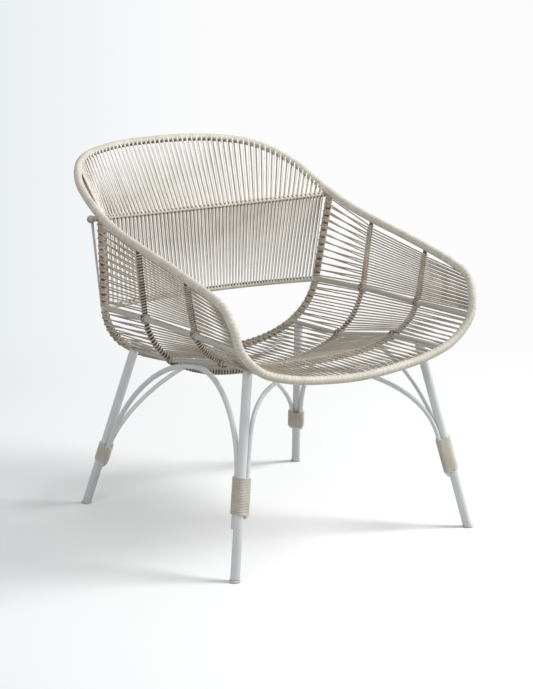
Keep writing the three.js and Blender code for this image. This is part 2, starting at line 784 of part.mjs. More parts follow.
// Fore and aft strands pass in turn inside and outside the ribs, and leave the hoop in pairs
function cradledStrand(k, count, spans, rimSpan) {
  const share = k / (count - 1);
  const lengths = spans.map(([from, to]) => THREE.MathUtils.lerp(from, to, share));
  const pairing = k % 2 === 0 ? pairShift : -pairShift;
  const inPair = k > 0 && k < count - 1 ? pairing * Math.sign(spans[0][1] - spans[0][0]) : 0;
  const weave = ribWrapRadius + turnGap + cordRadius;
  const [middle, front] = [middleRib, frontRib].map((rib, r) => {
    const length = lengths[r + 1];
    return rib.pointAt(length).addScaledVector(rib.sitterwardAt(length), (k + r) % 2 === 0 ? weave : -weave);
  });
  const hoopLength = lengths[0] + inPair;
  const rimAt = THREE.MathUtils.lerp(rimSpan[0], rimSpan[1], share);
  return [
    turnPoint(hoop.pointAt(hoopLength), hoop.tangentAt(hoopLength), middle, hoopWrapRadius),
    middle,
    front,
    rimTurnPoint(rimAt, front),
  ];
}

// How far panels stay from the rim and from the rails between them; seat strands clear the legs too
const rimClear = rimWrapRadius + cordRadius + panelMargin;
const sideClear = half(sideRailDiameter) + cordRadius + panelMargin;
const sideRailSlant = rimTangent(sideRimLength).angleTo(sideNodes[3].clone().sub(sideNodes[2]));
const sideRimClear = sideClear / Math.sin(sideRailSlant);
const rimTurnReach = rimWrapRadius + rimTurnGap + cordRadius;
const armRimClear = sideRimClear + rimTurnReach / Math.tan(sideRailSlant);
const flankClear = half(seatRailDiameter) + cordRadius + panelMargin;
const seatClear = half(legDiameter) + cordRadius + panelMargin;
const armSpans = cradles.map((cradle, k) => [cradle.length - rimClear - armDrop, sideLengths[k] + sideClear]);
const flankSpans = cradles.map((_, k) => [sideLengths[k] - sideClear, seatLengths[k] + flankClear]);
const seatSpans = seatLengths.map((length) => [length - seatClear, seatClear - length]);
const armRimSpan = [frontRib.rimLength + 2 * rimClear, sideRimLength - armRimClear];
const flankRimSpan = [sideRimLength + sideRimClear, seatRimLength - flankClear];
const seatRimSpan = [seatRimLength + seatClear, 2 * rimHalf.length - seatRimLength - seatClear];
[['left', -1], ['right', 1]].forEach(([sideName, side]) => {
  const arm = serpentine(armStrands, (k) => cradledStrand(k, armStrands, armSpans, armRimSpan));
  addCord(`${sideName}_arm_cord_panel`, mirrored(arm, side), cordDiameter, cordSides, up);
  const flank = serpentine(flankStrands, (k) => cradledStrand(k, flankStrands, flankSpans, flankRimSpan));
  addCord(`${sideName}_flank_cord_panel`, mirrored(flank, side), cordDiameter, cordSides, up);
});
const seat = serpentine(seatStrands, (k) => cradledStrand(k, seatStrands, seatSpans, seatRimSpan));
addCord('seat_cord_panel', seat, cordDiameter, cordSides, up);

// Back panels: the upper one fans from the rim to the mid rail, the lower one hangs from it
const railEnd = hoop.top.x - hoopWrapRadius;

function midRailPoint(x) {
  return point(x, midBackRail.y, midBackRail.z);
}

// The fan leans to the left: it starts short of the rim's left end, and its feet crowd there
const fanEnds = [-upperBackLeftReachShare * hoop.rimLength, hoop.rimLength - 2 * upperBackInset];
const fanFootHalf = railEnd - upperBackInset;
const upperBack = serpentine(upperBackStrands, (k) => {
  const across = 1 - k / (upperBackStrands - 1);
  const rimAt = THREE.MathUtils.lerp(fanEnds[0], fanEnds[1], across);
  const footShare = across - upperBackSwayShare * across * (1 - across);
  const rail = midRailPoint(THREE.MathUtils.lerp(-fanFootHalf, fanFootHalf, footShare));
  return [
    rimTurnPoint(rimAt, rail),
    turnPoint(rail, sideways, rimPoint(rimAt), backRailWrapRadius, meshGap),
  ];
});
addCord('upper_back_cord_panel', upperBack, cordDiameter, cordSides, sideways);

const lowerBack = serpentine(lowerBackStrands, (k) => {
  const across = 1 - (2 * k) / (lowerBackStrands - 1);
  const high = midRailPoint(across * (railEnd - lowerBackInset));
  const low = lowBackPoint(across * (lowBackHalf - hoopWrapRadius - lowerBackInset));
  const lowTangent = lowBackPoint(low.x + cordRadius).sub(lowBackPoint(low.x - cordRadius)).normalize();
  return [
    turnPoint(high, sideways, low, backRailWrapRadius, meshGap),
    turnPoint(low, lowTangent, high, backRailWrapRadius, meshGap),
  ];
});
addCord('lower_back_cord_panel', lowerBack, cordDiameter, cordSides, sideways);

export default chair;
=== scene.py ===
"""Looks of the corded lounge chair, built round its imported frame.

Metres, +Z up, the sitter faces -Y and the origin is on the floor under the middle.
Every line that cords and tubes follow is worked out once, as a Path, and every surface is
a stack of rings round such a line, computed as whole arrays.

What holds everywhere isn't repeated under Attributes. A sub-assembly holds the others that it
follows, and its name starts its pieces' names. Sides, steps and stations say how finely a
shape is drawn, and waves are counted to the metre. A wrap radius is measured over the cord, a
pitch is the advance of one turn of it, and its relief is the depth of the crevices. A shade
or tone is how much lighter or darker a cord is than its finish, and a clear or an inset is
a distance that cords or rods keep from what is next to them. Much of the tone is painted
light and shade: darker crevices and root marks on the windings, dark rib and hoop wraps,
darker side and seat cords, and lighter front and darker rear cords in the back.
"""

import logging
import math
from dataclasses import dataclass, field
from enum import Enum
from typing import Sequence, Union

import bpy
import numpy as np
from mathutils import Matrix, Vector


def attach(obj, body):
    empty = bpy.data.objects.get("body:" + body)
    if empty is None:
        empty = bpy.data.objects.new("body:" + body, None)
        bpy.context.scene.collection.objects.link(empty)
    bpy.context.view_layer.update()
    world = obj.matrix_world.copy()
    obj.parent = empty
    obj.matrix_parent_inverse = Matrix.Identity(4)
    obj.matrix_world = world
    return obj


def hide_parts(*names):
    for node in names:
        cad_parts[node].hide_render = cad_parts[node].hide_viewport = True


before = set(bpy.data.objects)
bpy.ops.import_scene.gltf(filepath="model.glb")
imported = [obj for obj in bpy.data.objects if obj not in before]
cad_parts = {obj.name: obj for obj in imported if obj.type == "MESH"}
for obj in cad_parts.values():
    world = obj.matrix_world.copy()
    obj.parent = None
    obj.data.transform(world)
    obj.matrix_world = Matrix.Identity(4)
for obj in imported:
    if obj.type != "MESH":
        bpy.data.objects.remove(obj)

log = logging.getLogger("chair")
Array = np.ndarray
RNG_SEED = 11
UP = np.array([0.0, 0.0, 1.0])
REARWARDS = np.array([0.0, 1.0, 0.0])
SIDEWAYS = np.array([1.0, 0.0, 0.0])
GAP = 0.0003
TINY = 1e-9
ROD_SIDES = 16
TUBE_SIDES = 20
CORD_SIDES = 8
WINDING_CORD_SIDES = 7
SIDE_RAIL_RADIUS = 0.00625


class Side(Enum):
    """The two sides of the chair, as seen from in front of it."""

    LEFT = -1
    RIGHT = 1

    @property
    def word(self) -> str:
        """The side's name in piece names."""
        return self.name.lower()


class Layer(Enum):
    """Which face of the chair a strand lies on, as a share of the sitterward direction."""

    INNER = 1
    OUTER = -1


class Core(Enum):
    """What a cradle's cord is wound on, as its piece is named."""

    TUBE = "tube"
    ROD = "rod"


class End(Enum):
    """Which end of the chair a leg stands at, as its pieces are named."""

    FRONT = "front"
    REAR = "rear"


# Arrays


def unit(vectors: Array) -> Array:
    """Vectors scaled to length one, along the last axis."""
    return vectors / np.linalg.norm(vectors, axis=-1, keepdims=True)


def between(start: Array, end: Array, share: Array) -> Array:
    """Straight blend of two arrays of points.

    Args:
        start: Points at share 0.
        end: Points at share 1.
        share: Shares, one per point.

    Returns:
        start + share * (end - start).
    """
    return start + np.asarray(share)[..., None] * (end - start)


def square_to(vectors: Array, axis: Array) -> Array:
    """The part of vectors that is square to unit axes, scaled to length one."""
    return unit(vectors - np.sum(vectors * axis, axis=-1, keepdims=True) * axis)


def mirrored(points: Array, side: Side = Side.LEFT) -> Array:
    """Points carried to a side of the chair, by the sign of their x."""
    return points * np.array([side.value, 1.0, 1.0])


def read_off(places: Array, known: Array, values: Array) -> Array:
    """Vectors at places along a line, from the vectors (n, 3) at its known places."""
    return np.stack([np.interp(places, known, column) for column in values.T], axis=-1)


class Path:
    """A closely sampled line that can be asked for places along it."""

    def __init__(self, points: Array, start: float = 0.0) -> None:
        """Measures the line.

        Args:
            points: Points of the line, (n, 3).
            start: Length that the first point stands for.
        """
        runs = np.linalg.norm(np.diff(points, axis=0), axis=1)
        self.points = points
        self.lengths = start + np.concatenate([[0.0], np.cumsum(runs)])

    @property
    def length(self) -> float:
        """Length from the first point to the last."""
        return float(self.lengths[-1] - self.lengths[0])

    @staticmethod
    def both_sides(right: Array) -> "Path":
        """A line and its mirror image.

        Args:
            right: Points of the right half, from the middle of the chair outwards, (n, 3).

        Returns:
            The whole line, by signed length from the middle, right side positive.
        """
        return Path(np.concatenate([mirrored(right)[::-1], right[1:]]), -Path(right).length)

    def at(self, lengths: Array) -> Array:
        """Points at lengths along the line."""
        return read_off(lengths, self.lengths, self.points)

    def heading(self, lengths: Array, reach: float = 0.004) -> Array:
        """Unit directions at lengths, over a short reach either way."""
        lengths = np.asarray(lengths, float)
        return unit(self.at(lengths + reach) - self.at(lengths - reach))

    def where(self, passed: Array) -> float:
        """Length of the first point of the right half that passes a test made on every point."""
        right = len(self.points) // 2
        return float(self.lengths[right + int(np.argmax(passed[right:]))])


def rounded_loop(corners: Array, steps: int) -> Array:
    """A closed smooth line through points.

    Each run is a cubic between two corners whose end slopes are the blended slopes of the
    neighbouring chords, each chord timed by the square root of its length.

    Args:
        corners: Points of the loop, (n, 3).
        steps: Samples per run.

    Returns:
        Points of the line, (n * steps, 3).
    """
    p0, p1, p2, p3 = (np.roll(corners, shift, axis=0) for shift in (1, 0, -1, -2))
    chords = ((p0, p1), (p1, p2), (p2, p3))
    t0, t1, t2 = (np.linalg.norm(b - a, axis=1, keepdims=True) ** 0.5 for a, b in chords)
    leave = ((p1 - p0) / t0 - (p2 - p0) / (t0 + t1) + (p2 - p1) / t1) * t1
    arrive = ((p2 - p1) / t1 - (p3 - p1) / (t1 + t2) + (p3 - p2) / t2) * t1
    s = (np.arange(steps) / steps)[None, :, None]
    a, b, c, d = (v[:, None, :] for v in (p1, leave, p2, arrive))
    run = a + b * s + (3 * (c - a) - 2 * b - d) * s**2 + (2 * (a - c) + b + d) * s**3
    return run.reshape(-1, 3)


# Surfaces


@dataclass
class Surface:
    """A mesh in the making.

    Attributes:
        vertices: Its points, (n, 3).
        quads: Its faces of four corners.
        quad_uvs: Metres along the cord or tube and turns round it, at each of their corners.
        triangles: Its faces of three corners.
        triangle_uvs: The same at their corners.
        tones: A shade for each point, around 0.
    """

    vertices: Array
    quads: Array
    quad_uvs: Array
    triangles: Array
    triangle_uvs: Array
    tones: Array

    @staticmethod
    def joined(parts: Sequence["Surface"]) -> "Surface":
        """Several surfaces as one."""
        starts = np.cumsum([0] + [len(part.vertices) for part in parts[:-1]])
        return Surface(
            np.concatenate([part.vertices for part in parts]),
            np.concatenate([part.quads + start for part, start in zip(parts, starts)]),
            np.concatenate([part.quad_uvs for part in parts]),
            np.concatenate([part.triangles + start for part, start in zip(parts, starts)]),
            np.concatenate([part.triangle_uvs for part in parts]),
            np.concatenate([part.tones for part in parts]),
        )

    def to_object(self, name: str) -> bpy.types.Object:
        """Makes a Blender object of the surface.

        Args:
            name: Name of the object and its mesh.

        Returns:
            The object, with a UV map named lay and a point attribute named tone.
        """
        mesh = bpy.data.meshes.new(name)
        corners = np.concatenate([self.quads.ravel(), self.triangles.ravel()])
        sizes = np.concatenate([np.full(len(self.quads), 4), np.full(len(self.triangles), 3)])
        mesh.vertices.add(len(self.vertices))
        mesh.vertices.foreach_set("co", self.vertices.astype(np.float32).ravel())
        mesh.loops.add(len(corners))
        mesh.loops.foreach_set("vertex_index", corners.astype(np.int32))
        mesh.polygons.add(len(sizes))
        starts = np.concatenate([[0], np.cumsum(sizes)[:-1]])
        mesh.polygons.foreach_set("loop_start", starts.astype(np.int32))
        mesh.update(calc_edges=True)
        mesh.polygons.foreach_set("use_smooth", np.ones(len(sizes), bool))
        uvs = np.concatenate([self.quad_uvs.reshape(-1, 2), self.triangle_uvs.reshape(-1, 2)])
        mesh.uv_layers.new(name="lay").data.foreach_set("uv", uvs.astype(np.float32).ravel())
        tone = mesh.attributes.new("tone", "FLOAT", "POINT")
        tone.data.foreach_set("value", self.tones.astype(np.float32))
        made = bpy.data.objects.new(name, mesh)
        bpy.context.scene.collection.objects.link(made)
        return made


def skin(rings: Array, closed: bool = False, tones: Union[Array, None] = None) -> Surface:
    """Covers rings with faces that point outwards.

    Vertex (tube, station, place) joins its neighbours along the tube and round it; the ends
    of an open tube are closed by fans from the middle of the end ring.

    Args:
        rings: (tubes, stations, places round, 3), turning from the normal to tangent x normal.
        closed: Whether the last station joins the first.
        tones: A shade for each tube, (tubes,), or for each vertex.

    Returns:
        The surface, whose UVs are metres along the tube and turns round it.
    """
    tubes, stations, places = rings.shape[:3]
    index = np.arange(tubes * stations * places).reshape(tubes, stations, places)
    centres = rings.mean(axis=2)
    ahead = np.roll(centres, -1, axis=1)
    steps = np.linalg.norm(ahead - centres, axis=-1)
    run = np.concatenate([np.zeros((tubes, 1)), np.cumsum(steps, axis=1)], axis=1)
    last = stations if closed else stations - 1
    here, there = index[:, :last], np.roll(index, -1, axis=1)[:, :last]
    quads = np.stack([here, np.roll(here, -1, axis=2), np.roll(there, -1, axis=2), there], axis=-1)
    turn = np.arange(places) / places
    grid = np.zeros((tubes, last, places, 4, 2))
    grid[..., 0, 0] = grid[..., 1, 0] = run[:, :last, None]
    grid[..., 2, 0] = grid[..., 3, 0] = run[:, 1 : last + 1, None]
    grid[..., 0, 1] = grid[..., 3, 1] = turn
    grid[..., 1, 1] = grid[..., 2, 1] = turn + 1 / places
    shade = np.zeros(tubes) if tones is None else np.asarray(tones, float)
    shades = shade.ravel() if shade.size == index.size else np.repeat(shade, stations * places)
    vertices = rings.reshape(-1, 3)
    triangles = np.zeros((0, 3), int)
    if not closed:
        first, final = index[:, 0], index[:, -1]
        count = index.size
        low = count + np.arange(tubes)[:, None] + np.zeros_like(first)
        high = low + tubes
        triangles = np.concatenate(
            [
                np.stack([low, np.roll(first, -1, axis=1), first], axis=-1).reshape(-1, 3),
                np.stack([high, final, np.roll(final, -1, axis=1)], axis=-1).reshape(-1, 3),
            ]
        )
        vertices = np.concatenate([vertices, centres[:, 0], centres[:, -1]])
        ends = shades.reshape(tubes, stations * places)[:, 0]
        shades = np.concatenate([shades, ends, ends])
    quads, quad_uvs = quads.reshape(-1, 4), grid.reshape(-1, 4, 2)
    return Surface(vertices, quads, quad_uvs, triangles, np.zeros((len(triangles), 3, 2)), shades)


def headings(centres: Array) -> Array:
    """Unit directions at every station of lines, each the mean of the runs before and after it.

    Args:
        centres: Points of the lines, (..., stations, 3).

    Returns:
        Directions, of the same shape.
    """
    runs = np.diff(centres, axis=-2)
    runs = runs / np.maximum(np.linalg.norm(runs, axis=-1, keepdims=True), TINY)
    padded = np.concatenate([runs[..., :1, :], runs, runs[..., -1:, :]], axis=-2)
    return unit(padded[..., 1:, :] + padded[..., :-1, :])


def rings_round(centres: Array, facing: Array, high: Array, wide: Array, sides: int) -> Array:
    """Rings of an oval section carried along lines.

    A ring's point at angle f is centre + high cos f normal + wide sin f (tangent x normal).

    Args:
        centres: (..., stations, 3).
        facing: Direction that the section's height points in, one or one per station.
        high: Half height, one or one per station.
        wide: Half width, one or one per station.
        sides: Places round the ring.

    Returns:
        (..., stations, sides, 3).
    """
    tangent = headings(centres)
    normal = square_to(np.broadcast_to(facing, centres.shape), tangent)
    binormal = np.cross(tangent, normal)
    angle = 2 * math.pi * np.arange(sides) / sides
    up = np.broadcast_to(np.asarray(high, float), centres.shape[:-1])[..., None, None]
    out = np.broadcast_to(np.asarray(wide, float), centres.shape[:-1])[..., None, None]
    return (
        centres[..., None, :]
        + up * np.cos(angle)[:, None] * normal[..., None, :]
        + out * np.sin(angle)[:, None] * binormal[..., None, :]
    )


def tube(
    centres: Array, facing: Array, radius: float, sides: int = TUBE_SIDES, bore: float = 0.0
) -> Surface:
    """A round tube along one line, with rounded lips where its bore shows at both ends.

    Args:
        centres: (stations, 3).
        facing: A direction that is never along the line.
        radius: Outer radius.
        sides: Facets round.
        bore: Inner radius, or 0 for a closed end.

    Returns:
        The tube's surface, whose lips are a third of the wall.
    """
    if bore == 0:
        return skin(rings_round(centres, facing, radius, radius, sides)[None])
    lip = (radius - bore) / 3
    tangent = headings(centres)
    outward = rings_round(centres, facing, radius, radius, sides)
    lipped = rings_round(centres, facing, radius - lip, radius - lip, sides)
    start = lipped[:1] - lip * tangent[0]
    end = lipped[-1:] + lip * tangent[-1]
    inward = rings_round(centres, facing, bore, bore, sides)[::-1]
    return skin(np.concatenate([start, outward, end, inward])[None], closed=True)


# Materials


def tint(red: int, green: int, blue: int) -> tuple[float, ...]:
    """A colour as a screen shows it, 0 to 255, in the shader's light values."""
    share = np.array([red, green, blue]) / 255
    light = np.where(share <= 0.04045, share / 12.92, ((share + 0.055) / 1.055) ** 2.4)
    return (*light.tolist(), 1.0)


class Value:
    """A number in a material that varies over the surface and can stand in a sum."""

    def __init__(self, graph: "Graph", socket: bpy.types.NodeSocket) -> None:
        """Wraps an output socket of a graph."""
        self.graph = graph
        self.socket = socket

    def _math(self, operation: str, first: "Number", second: "Number") -> "Value":
        """A Math node on two numbers."""
        made = self.graph.node("Math", {"operation": operation}, {0: first, 1: second})
        return Value(self.graph, made.outputs[0])

    def __add__(self, other: "Number") -> "Value":
        """self + other."""
        return self._math("ADD", self, other)

    def __mul__(self, other: "Number") -> "Value":
        """self * other."""
        return self._math("MULTIPLY", self, other)

    def __sub__(self, other: "Number") -> "Value":
        """self - other."""
        return self._math("SUBTRACT", self, other)

    def __rsub__(self, other: "Number") -> "Value":
        """other - self."""
        return self._math("SUBTRACT", other, self)

    def __pow__(self, other: "Number") -> "Value":
        """self ** other."""
        return self._math("POWER", self, other)

    def sine(self) -> "Value":
        """The sine of self, in radians."""
        return self._math("SINE", self, 0.0)

    def clamped(self, top: float = 1.0) -> "Value":
        """self held between 0 and a top."""
        return self._math("MINIMUM", self._math("MAXIMUM", self, 0.0), top)

    def spread(self, gain: float) -> "Value":
        """self, a number around 0.5, with its distance from 0.5 times a gain."""
        return self * gain + (1 - gain) / 2

    __radd__ = __add__
    __rmul__ = __mul__


Number = Union[Value, float]


class Graph:
    """The nodes of one material or world."""

    def __init__(self, tree: bpy.types.NodeTree) -> None:
        """Takes a node tree and empties it."""
        self.tree = tree
        tree.nodes.clear()

    def node(
        self, kind: str, settings: dict[str, object], sockets: dict[object, object]
    ) -> bpy.types.Node:
        """Adds a node.

        Args:
            kind: Type of the node, without its ShaderNode prefix.
            settings: Its properties, set first.
            sockets: Values or links of its inputs, by name or number.

        Returns:
            The node.
        """
        made = self.tree.nodes.new(f"ShaderNode{kind}")
        for key, value in settings.items():
            setattr(made, key, value)
        for key, value in sockets.items():
            source = value.socket if isinstance(value, Value) else value
            if isinstance(source, bpy.types.NodeSocket):
                self.tree.links.new(source, made.inputs[key])
            else:
                made.inputs[key].default_value = source
        return made

    def noise(self, scale: float, detail: float) -> Value:
        """Blotches around 0.5, so many waves to the metre, on the object's own place."""
        place = self.node("TexCoord", {}, {}).outputs["Object"]
        made = self.node("TexNoise", {}, {"Vector": place, "Scale": scale, "Detail": detail})
        return Value(self, made.outputs["Fac"])

    def lay(self) -> tuple[Value, Value]:
        """Metres along a cord or tube, and turns round it."""
        made = self.node("UVMap", {"uv_map": "lay"}, {})
        split = self.node("SeparateXYZ", {}, {0: made.outputs[0]})
        return Value(self, split.outputs[0]), Value(self, split.outputs[1])

    def tone(self) -> Value:
        """The shade that a piece's mesh carries, around 0."""
        made = self.node("Attribute", {"attribute_name": "tone", "attribute_type": "GEOMETRY"}, {})
        return Value(self, made.outputs["Fac"])

    def blend(self, factor: Value, low: object, high: object) -> bpy.types.NodeSocket:
        """A colour between two, by a factor from 0 to 1."""
        made = self.node("Mix", {"data_type": "RGBA"}, {0: factor, 6: low, 7: high})
        return made.outputs[2]

    def looked_at(self) -> Value:
        """1 for rays from the eye, and for what metal and glass show of the place, otherwise 0."""
        path = self.node("LightPath", {}, {})
        kinds = ("Is Camera Ray", "Is Glossy Ray", "Is Transmission Ray")
        return sum((Value(self, path.outputs[kind]) for kind in kinds), 0.0).clamped()

    def bump(self, height: Value, distance: float) -> bpy.types.NodeSocket:
        """A relief, whose height of 1 is a distance in metres."""
        made = self.node("Bump", {}, {"Height": height, "Distance": distance, "Strength": 1.0})
        return made.outputs[0]

    def finished(self, sockets: dict[object, object]) -> None:
        """Ends the material in a Principled surface with the given sockets."""
        surface = self.node("BsdfPrincipled", {}, sockets)
        self.node("OutputMaterial", {}, {"Surface": surface.outputs[0]})


@dataclass(frozen=True)
class Finish:
    """What every finish has.

    Attributes:
        name: Name of its material.
        slot: The record's material slot; not used.
    """

    name: str
    slot: str
    dark: tuple[float, ...]
    light: tuple[float, ...]

    def material(self) -> bpy.types.Material:
        """The finish's material, made the first time that it is asked for."""
        made = bpy.data.materials.get(self.name)
        if made is None:
            made = bpy.data.materials.new(self.name)
            made.use_nodes = True
            self.paint(Graph(made.node_tree))
        return made

    def paint(self, graph: Graph) -> None:
        """Fills the material's nodes.

        Args:
            graph: The material's nodes, empty at first.
        """
        raise NotImplementedError


@dataclass(frozen=True)
class PowderCoat(Finish):
    """Baked paint on steel: nearly even, with a fine orange-peel and a few duller patches.

    Attributes:
        contrast: How far the patches spread between the two colours.
        gloss: Roughness of the glossiest patch.
        dulling: How much rougher the dullest patch is.
    """

    patch_waves: float = 26.0
    peel_waves: float = 900.0
    contrast: float = 1.6
    gloss: float = 0.3
    dulling: float = 0.22
    relief: float = 0.00006
    specular: float = 0.5

    def paint(self, graph: Graph) -> None:
        """Cloudy colour and roughness from blotches, and a fine even relief.

        Args:
            graph: The material's nodes.
        """
        patches = graph.noise(self.patch_waves, 4.0)
        peel = graph.noise(self.peel_waves, 2.0)
        share = patches.spread(self.contrast).clamped()
        graph.finished(
            {
                "Base Color": graph.blend(share, self.dark, self.light),
                "Roughness": self.gloss + patches * self.dulling,
                "Normal": graph.bump(peel, self.relief),
                "Specular IOR Level": self.specular,
            }
        )


@dataclass(frozen=True)
class Twine(Finish):
    """Smooth resin cord with a faint twist, whose furrow follows sin(threads * turns + metres /
    lay).

    Attributes:
        deep: Painted shade colour, far down between turns, where other cords go in and wherever a
            cord's tone falls below the dark colour.
        lay_length: Metres in which the twist goes round once.
        twist_shade: How much lighter a thread is painted than the furrow beside it, as painted
            shade in the furrow.
        relief: Depth of the furrows and fibres.
        dirt: How far the dirt's blotches shift the shade.
        brightness: Share of the lighter colour where the mesh's tone is 0.
        dusk: How fast the painted shade colour takes over below the dark one.
        fibre_roughness: How far the fibres shift it.
    """

    deep: tuple[float, ...]
    lay_length: float = 0.009
    threads: float = 3.0
    twist_shade: float = 0.12
    relief: float = 0.00012
    furrow_share: float = 0.8
    fibre_share: float = 0.4
    dirt: float = 0.5
    dirt_waves: float = 38.0
    fibre_waves: float = 1500.0
    brightness: float = 0.62
    dusk: float = 1.8
    roughness: float = 0.55
    fibre_roughness: float = 0.3
    specular: float = 0.35

    def paint(self, graph: Graph) -> None:
        """Colour from the mesh's own tone, faint dirt and the twist, and a relief of the twist.

        The tone and the twist's furrows carry painted shade, and below the dark colour a
        painted shade colour takes over.

        Args:
            graph: The material's nodes.
        """
        metres, turns = graph.lay()
        phase = metres * (1 / self.lay_length) + turns * self.threads
        twist = (phase * (2 * math.pi)).sine() * 0.5 + 0.5
        clouds = graph.noise(self.dirt_waves, 4.0)
        fibre = graph.noise(self.fibre_waves, 2.0)
        # Real dirt blotches, and painted shade that darkens the twist's furrows.
        dirt_and_furrow_shade = (clouds - 0.5) * self.dirt + (twist - 0.5) * self.twist_shade
        height = twist * self.furrow_share + fibre * self.fibre_share
        shade = self.brightness + graph.tone() + dirt_and_furrow_shade
        colour = graph.blend(shade.clamped(), self.dark, self.light)
        graph.finished(
            {
                # Painted shade: where the tone falls below the dark colour, the painted shade
                # colour takes over, in crevices, root marks and dark wraps.
                "Base Color": graph.blend((shade * -self.dusk).clamped(), colour, self.deep),
                "Roughness": self.roughness + (fibre - 0.5) * self.fibre_roughness,
                "Normal": graph.bump(height, self.relief),
                "Specular IOR Level": self.specular,
            }
        )


@dataclass(frozen=True)
class MouldedPlastic(Finish):
    """Dull moulded plastic with a fine grain and scuffed high spots.

    Attributes:
        contrast: How far the scuffs spread between the two colours.
        grain_shade: How far the grain shifts the colour.
        gloss: Roughness where nothing is scuffed.
        scuffing: How much rougher a scuff is.
    """

    grain_waves: float = 1400.0
    scuff_waves: float = 140.0
    contrast: float = 1.4
    grain_shade: float = 0.4
    gloss: float = 0.5
    scuffing: float = 0.25
    relief: float = 0.00008

    def paint(self, graph: Graph) -> None:
        """Colour and relief from a fine grain over soft blotches.

        Args:
            graph: The material's nodes.
        """
        grain = graph.noise(self.grain_waves, 3.0)
        scuffs = graph.noise(self.scuff_waves, 4.0)
        share = (scuffs.spread(self.contrast) + (grain - 0.5) * self.grain_shade).clamped()
        graph.finished(
            {
                "Base Color": graph.blend(share, self.dark, self.light),
                "Roughness": self.gloss + scuffs * self.scuffing,
                "Normal": graph.bump(grain, self.relief),
            }
        )


@dataclass(frozen=True)
class Ground(Finish):
    """The studio's floor: matt and lit round the chair, further out a glowing backdrop whose
    painted light is darker on the chair's left.

    Attributes:
        near: Metres from the middle where the backdrop starts to show.
        far: Metres where nothing else shows.
        bounce: How light the floor is for the light that it throws back.
        matt: The floor's own two colours, which soft clouds blend.
        away: Level direction in which the backdrop recedes.
        stand_off: Metres before the middle from which it widens.
        reach: Metres past which it widens no more.
        unit_distance: Metres at which across is counted in metres.
        slope: How fast the backdrop lightens across.
        middle: How light it is in the middle, 1 being the lighter colour.
    """

    near: float = 0.35
    far: float = 2.0
    bounce: float = 0.5
    matt: tuple[tuple[float, ...], tuple[float, ...]] = (tint(247, 249, 251), tint(252, 253, 254))
    cloud_waves: float = 0.8
    roughness: float = 0.9
    away: tuple[float, float] = (0.57, 0.82)
    stand_off: float = 4.2
    reach: float = 60.0
    unit_distance: float = 4.0
    slope: float = 2.2
    middle: float = 1.25

    def paint(self, graph: Graph) -> None:
        """A matt floor blended into a plain light, darker on the chair's left, by the distance.

        Args:
            graph: The material's nodes.
        """
        place = graph.node("TexCoord", {}, {}).outputs["Object"]
        split = graph.node("SeparateXYZ", {}, {0: place})
        x, y = (Value(graph, split.outputs[k]) for k in range(2))
        distance = (x * x + y * y) ** 0.5
        fade = ((distance - self.near) * (1 / (self.far - self.near))).clamped()
        fade = fade * fade * (3.0 - 2.0 * fade)
        beside, ahead = self.away
        depth = (self.stand_off + (x * beside + y * ahead)).clamped(self.reach)
        across = (x * ahead - y * beside) * (depth * (1 / self.unit_distance)) ** -1.0
        # Painted light: the backdrop's glow grows lighter across, from the chair's left to its
        # right.
        backdrop = graph.blend((across * self.slope + self.middle).clamped(), self.dark, self.light)
        white = graph.blend(graph.noise(self.cloud_waves, 2.0), *self.matt)
        sockets = {"Base Color": white, "Roughness": self.roughness}
        floor = graph.node("BsdfPrincipled", {}, sockets).outputs[0]
        light = graph.node("Emission", {}, {"Color": backdrop, "Strength": 1.0}).outputs[0]
        seen = graph.node("MixShader", {}, {0: fade, 1: floor, 2: light}).outputs[0]
        grey = (self.bounce, self.bounce, self.bounce, 1.0)
        unseen = graph.node("BsdfDiffuse", {}, {"Color": grey}).outputs[0]
        final = graph.node("MixShader", {}, {0: graph.looked_at(), 1: unseen, 2: seen})
        graph.node("OutputMaterial", {}, {"Surface": final.outputs[0]})


PAINT = PowderCoat("pale_powder_coat", "painted_steel", tint(208, 214, 215), tint(224, 228, 228))
# Painted shade and reflected light: the rails get a darker, warmer copy of the legs' paint, for the
# shade under the arms and the warm light that the cords throw on them.
SHADED_RAIL_PAINT = PowderCoat(
    "grey_powder_coat", "painted_steel", tint(176, 174, 165), tint(194, 191, 182)
)
LACING = Twine(
    "lacing_twine", "lacing_cord", tint(168, 157, 141), tint(250, 247, 239), tint(56, 46, 36)
)
RIM_CORD = Twine(
    "rim_twine", "rim_cord", tint(160, 153, 139), tint(235, 231, 220), tint(52, 43, 34)
)
RAIL_CORD = Twine("rail_twine", "lacing_cord", RIM_CORD.dark, RIM_CORD.light, RIM_CORD.deep)
GLIDE = MouldedPlastic("moulded_glide", "glide_plastic", tint(176, 168, 156), tint(214, 209, 200))
FLOOR = Ground("studio_floor", "", tint(233, 238, 242), tint(252, 252, 252))


class Piece:
    """A finished object of the chair, which rides on the frame and stands for one of its nodes."""

    def __init__(self, node: str, surface: Surface) -> None:
        """Makes the object of a surface."""
        self.node = node
        self.shape = surface.to_object(f"{node}_look")

    def dress(self, finish: Finish) -> None:
        """Gives the piece its finish and its place in the frame.

        Args:
            finish: What it is made of.
        """
        self.shape.data.materials.append(finish.material())
        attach(self.shape, "root")
        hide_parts(self.node)
        log.info("%s: %d faces in %s", self.shape.name, len(self.shape.data.polygons), finish.name)


# Cords and tubes


